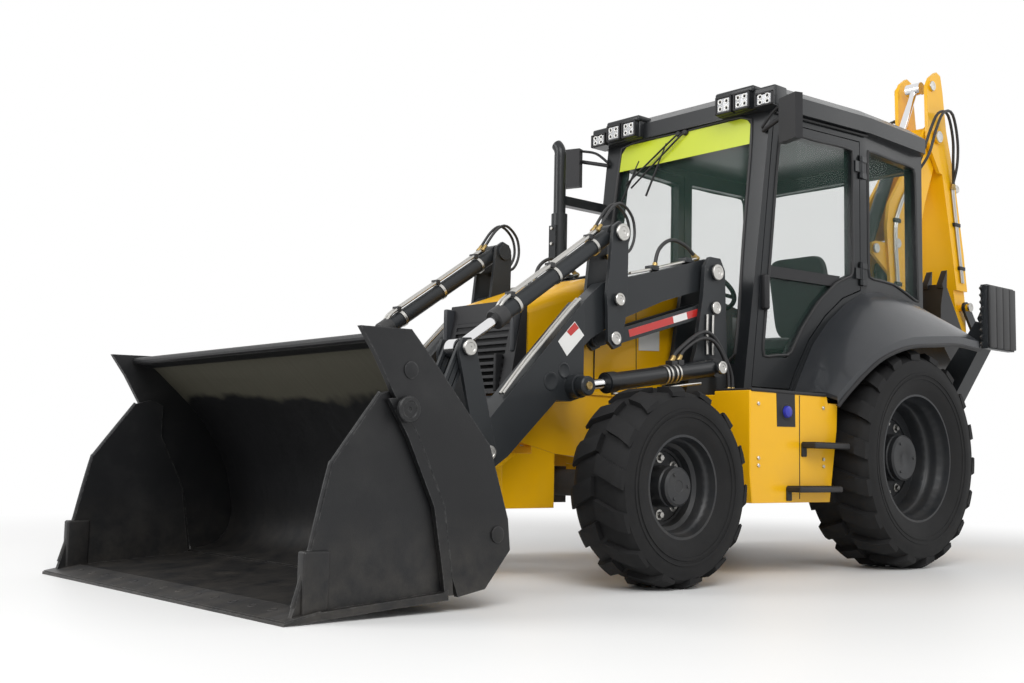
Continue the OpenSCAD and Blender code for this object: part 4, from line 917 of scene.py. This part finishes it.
def stabilizers():
    """Rubber strips and a toothed plate on each pad, pin heads on the leg."""
    for s, side in NAMED_SIDES:
        rubber, teeth, pins = Batch(), Batch(), Batch()
        for k in range(4):
            side_block(rubber, s, (-1126 + 89 * k, -1044 + 89 * k), (1118, 1138), (1388, 1792), 6)
        for k in range(9):
            z = 1386 + 46 * k
            side_sheet(teeth, s, 1078, ((-772, z), (-772, z + 42), (-742, z + 21)), 14)
        head = ((0, 7), (22, 7), (30, 9), (34, 5), (34, -4), (0, -4))
        for x in (-1036, -864):
            turned(pins, head, (x, s * 475, 645), (np.sign(x + 950), 0, 0))
        rubber.make("pad_rubber_" + side, HOSE, "stabilizer_" + side)
        teeth.make("pad_teeth_" + side, GREY, "stabilizer_" + side, smooth=False)
        pins.make("leg_pin_heads_" + side, STEEL, "stabilizer_" + side)


BOOM_RUN = ((-1500, 1180), (-1400, 1620), (-1365, 2000), (-1340, 2350), (-1400, 2540), (-1540, 2735), (-1640, 2860))
DIPPER_RUN = ((-2150, 2790), (-2195, 2540), (-2240, 2300), (-2285, 2060))


def hoe_trim():
    """Pin heads, boom and dipper pipes with clamps, and hoses over the elbow."""
    pin_heads("hoe_pin_heads_", (
        ("swing_post", (-1560, 850), 160, 44), ("swing_post", (-1180, 1150), 100, 36),
        ("boom", (-1120, 2200), 98, 36), ("boom", (-1395, 2270), 111, 36),
        ("dipper", (-1920, 3175), 165, 46), ("dipper", (-1850, 3570), 152, 38),
        ("dipper", (-2300, 2830), 98, 32), ("dipper", (-2299, 1866), 200, 36),
        ("guide_links", (-2484, 1643), 172, 36), ("hoe_bucket", (-2340, 1570), 178, 38)))
    steel, clamp, low, hold = (Batch() for _ in range(4))
    for s in SIDES:
        for k in (0, 26):
            pipe(steel, [(x - k, s * 116, z) for x, z in BOOM_RUN], 9, 60)
            pipe(low, [(x + k, s * 153, z) for x, z in DIPPER_RUN], 9, 30)
        for x, z in ((-1418, 1560), (-1372, 1960), (-1365, 2440), (-1590, 2800)):
            side_block(clamp, s, (x - 50, x + 30), (104, 130), (z - 16, z + 16), 5)
        side_block(hold, s, (-2235, -2145), (141, 166), (2500, 2530), 5)
        side_block(hold, s, (-2300, -2215), (141, 166), (2160, 2190), 5)
    steel.make("boom_pipes", STEEL, "boom")
    clamp.make("boom_pipe_clamps", PLASTIC, "boom")
    low.make("dipper_pipes", STEEL, "dipper")
    hold.make("dipper_pipe_clamps", PLASTIC, "dipper")
    for s, side in NAMED_SIDES:
        for k, tag in ((0, "a"), (34, "b")):
            hose(f"elbow_hose_{side}_{tag}", [
                (-1640 - k, s * 118, 2860), (-1665 - k, s * (165 + k), 2990), (-1745 - k * 0.7, s * (192 + k), 3200),
                (-1850 - k * 0.5, s * (200 + k), 3345), (-1990 - k * 0.3, s * (200 + k), 3360),
                (-2085 - k * 0.2, s * (190 + k), 3180), (-2120, s * (170 + k), 2980),
                (-2150 + k * 0.76, s * 155, 2800)], HOSE_R, "boom", "dipper")


FENDER_EDGE = ((760, 1000, 1000), (690, 1030, 1085), (560, 1060, 1200), (420, 1080, 1290), (260, 1095, 1350),
               (100, 1100, 1385), (-100, 1105, 1405), (-400, 1105, 1430), (-700, 1095, 1420))


def fender_lips():
    """A turned lip along each fender's edge."""
    b = Batch()
    for s in SIDES:
        pipe(b, [(x, s * (y + 3), z - 58) for x, y, z in FENDER_EDGE], 12, 60)
    b.make("fender_lips", PLASTIC)


def cushion(name, centre, half, crown, tilt, grooves):
    """A crowned pad: P = c + h sign(N)|N|^0.4 with N on the sphere, the top raised by crown (1-x^2)(1-y^2),
    sides drawn in between the corners and each sewn channel sunk as a narrow Gaussian."""
    round_about = np.linspace(0, 2 * np.pi, 96, endpoint=False)
    u, v = np.meshgrid(round_about, np.linspace(-np.pi / 2, np.pi / 2, 64), indexing="ij")
    N = np.stack([np.cos(v) * np.cos(u), np.cos(v) * np.sin(u), np.sin(v)], -1)
    Q = np.sign(N) * np.abs(N) ** 0.4
    x, y, z = Q[..., 0], Q[..., 1], Q[..., 2]
    top = np.clip(z, 0, 1)
    sink = sum(d * np.exp(-(((x if ax == 0 else y) - at) / 0.035) ** 2) for ax, at, d in grooves)
    Q = np.stack([x * (1 - 0.035 * (1 - y**2)), y * (1 - 0.035 * (1 - x**2)), z], -1) * np.asarray(half)
    Q[..., 2] += top * (crown * (1 - x**2) * (1 - y**2) - sink)
    c, k = math.cos(tilt), math.sin(tilt)
    P = np.stack([Q[..., 0] * c + Q[..., 2] * k, Q[..., 1], -Q[..., 0] * k + Q[..., 2] * c], -1) + np.asarray(centre)
    b = Batch()
    b.grid(P, wrap_u=True)
    ob = b.make(name, FABRIC, "chassis", auto=None)


def seat_pads():
    """The driver's seat: a pedestal with two sewn pads, standing for the plain solid."""
    base, crown, lengthways = Batch(), 0.02, ((1, -0.5, 0.008), (1, 0.5, 0.008))
    block(base, (-270, -170, 1060), (70, 170, 1345), 20)
    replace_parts(base.make("seat_pedestal", PLASTIC), "seat")
    cushion("seat_pad", V(-60, 0, 1388), (0.25, 0.24, 0.045), crown, 0.0, (*lengthways, (0, 0.2, 0.006)))
    cushion("seat_back", V(-315, 0, 1755), (0.29, 0.23, 0.05), crown, math.radians(-79),
            (*lengthways, (0, -0.3, 0.006)))


for dress in (loader_pins, tilt_hydraulics, lift_hydraulics, arm_trim, cab_trim, hood_trim, side_box_trim, wheels,
              buckets, stabilizers, hoe_trim, fender_lips, seat_pads):
    dress()


# Floor, light and camera
FADE_START, FADE_END, FLOOR_HALF = 3.0, 7.0, 60.0
WORLD_LIGHT = 0.55
# name, place, aim, size and power of each lamp
LAMPS_ROUND = (("key", (6.0, 7.0, 8.0), (0, 0, 1), 6.0, 700), ("front", (9.5, -4.0, 6.0), (1, 0, 1), 5.0, 420),
               ("rear", (-9.0, 6.5, 7.0), (-1, 0, 1.5), 5.0, 110))


def studio():
    """A pale floor that fades to white and keeps the shadow, three soft lamps, and a world that is white where it
    is seen, mirrored or looked at through glass."""
    s = Shader("pale_floor")
    g = s.group(GRAIN, Fine=14.0, Slow=0.6)
    s.set(Base_Color=s.mix(g.outputs["Tone"], (0.83, 0.83, 0.825), (0.87, 0.87, 0.865)), Roughness=0.5)
    away = s.node("ShaderNodeVectorMath", operation="LENGTH")
    s.link(s.co, away.inputs[0])
    fade = put(s.node("ShaderNodeMapRange", interpolation_type="SMOOTHSTEP"), From_Min=FADE_START, From_Max=FADE_END,
               Value=away.outputs["Value"])
    white, blend = s.node("ShaderNodeEmission"), s.node("ShaderNodeMixShader")
    for k, socket in enumerate((fade.outputs[0], s.bsdf.outputs[0], white.outputs[0])):
        s.link(socket, blend.inputs[k])
    s.link(blend.outputs[0], s.out.inputs["Surface"])
    corners = [(x * FLOOR_HALF, y * FLOOR_HALF, 0) for x, y in ((-1, -1), (1, -1), (1, 1), (-1, 1))]
    floor = new_mesh("floor", corners, [(0, 1, 2, 3)], s.mat)
    world = bpy.data.worlds.new("studio")
    bpy.context.scene.world = world
    world.use_nodes = True
    t = world.node_tree
    t.nodes.clear()
    out, bg = t.nodes.new("ShaderNodeOutputWorld"), t.nodes.new("ShaderNodeBackground")
    path = t.nodes.new("ShaderNodeLightPath").outputs
    seen = gmath(t, "MAXIMUM", path["Is Camera Ray"], path["Is Glossy Ray"])
    seen = gmath(t, "MAXIMUM", seen, path["Is Transmission Ray"])
    level = put(t.nodes.new("ShaderNodeMapRange"), To_Min=WORLD_LIGHT, To_Max=1.0, Value=seen)
    put(bg, Color=(1, 1, 1), Strength=level.outputs[0])
    t.links.new(bg.outputs[0], out.inputs[0])
    for name, spot, aim, size, power in LAMPS_ROUND:
        data = bpy.data.lights.new(name, "AREA")
        data.size, data.energy = size, power
        lamp = new_object(name, data)
        lamp.location = spot
        lamp.rotation_euler = (Vector(aim) - Vector(spot)).to_track_quat("-Z", "Y").to_euler()


def photo_camera():
    """The camera that took the photograph, solved from the wheels: place, turn, nod, lean and focal length."""
    yaw, nod, lean, focal_px, image_w, sensor = 0.844546, 0.0942425, 0.0198732, 1221.8276, 1024, 36.0
    place = (rx(6.759918), 4.959293, 0.618851)
    fw = Vector((-math.cos(yaw) * math.cos(nod), -math.sin(yaw) * math.cos(nod), math.sin(nod)))
    rt = fw.cross(Vector((0, 0, 1))).normalized()
    up = rt.cross(fw)
    rt, up = rt * math.cos(lean) + up * math.sin(lean), up * math.cos(lean) - rt * math.sin(lean)
    data = bpy.data.cameras.new("photo_camera")
    data.sensor_fit, data.sensor_width = "HORIZONTAL", sensor
    data.lens = focal_px * sensor / image_w
    data.clip_end = 200
    cam = new_object("photo_camera", data)
    cam.matrix_world = Matrix([(rt[k], up[k], -fw[k], place[k]) for k in range(3)] + [(0, 0, 0, 1)])
    bpy.context.scene.camera = cam


studio()
photo_camera()
bpy.context.scene.view_settings.view_transform = "Standard"
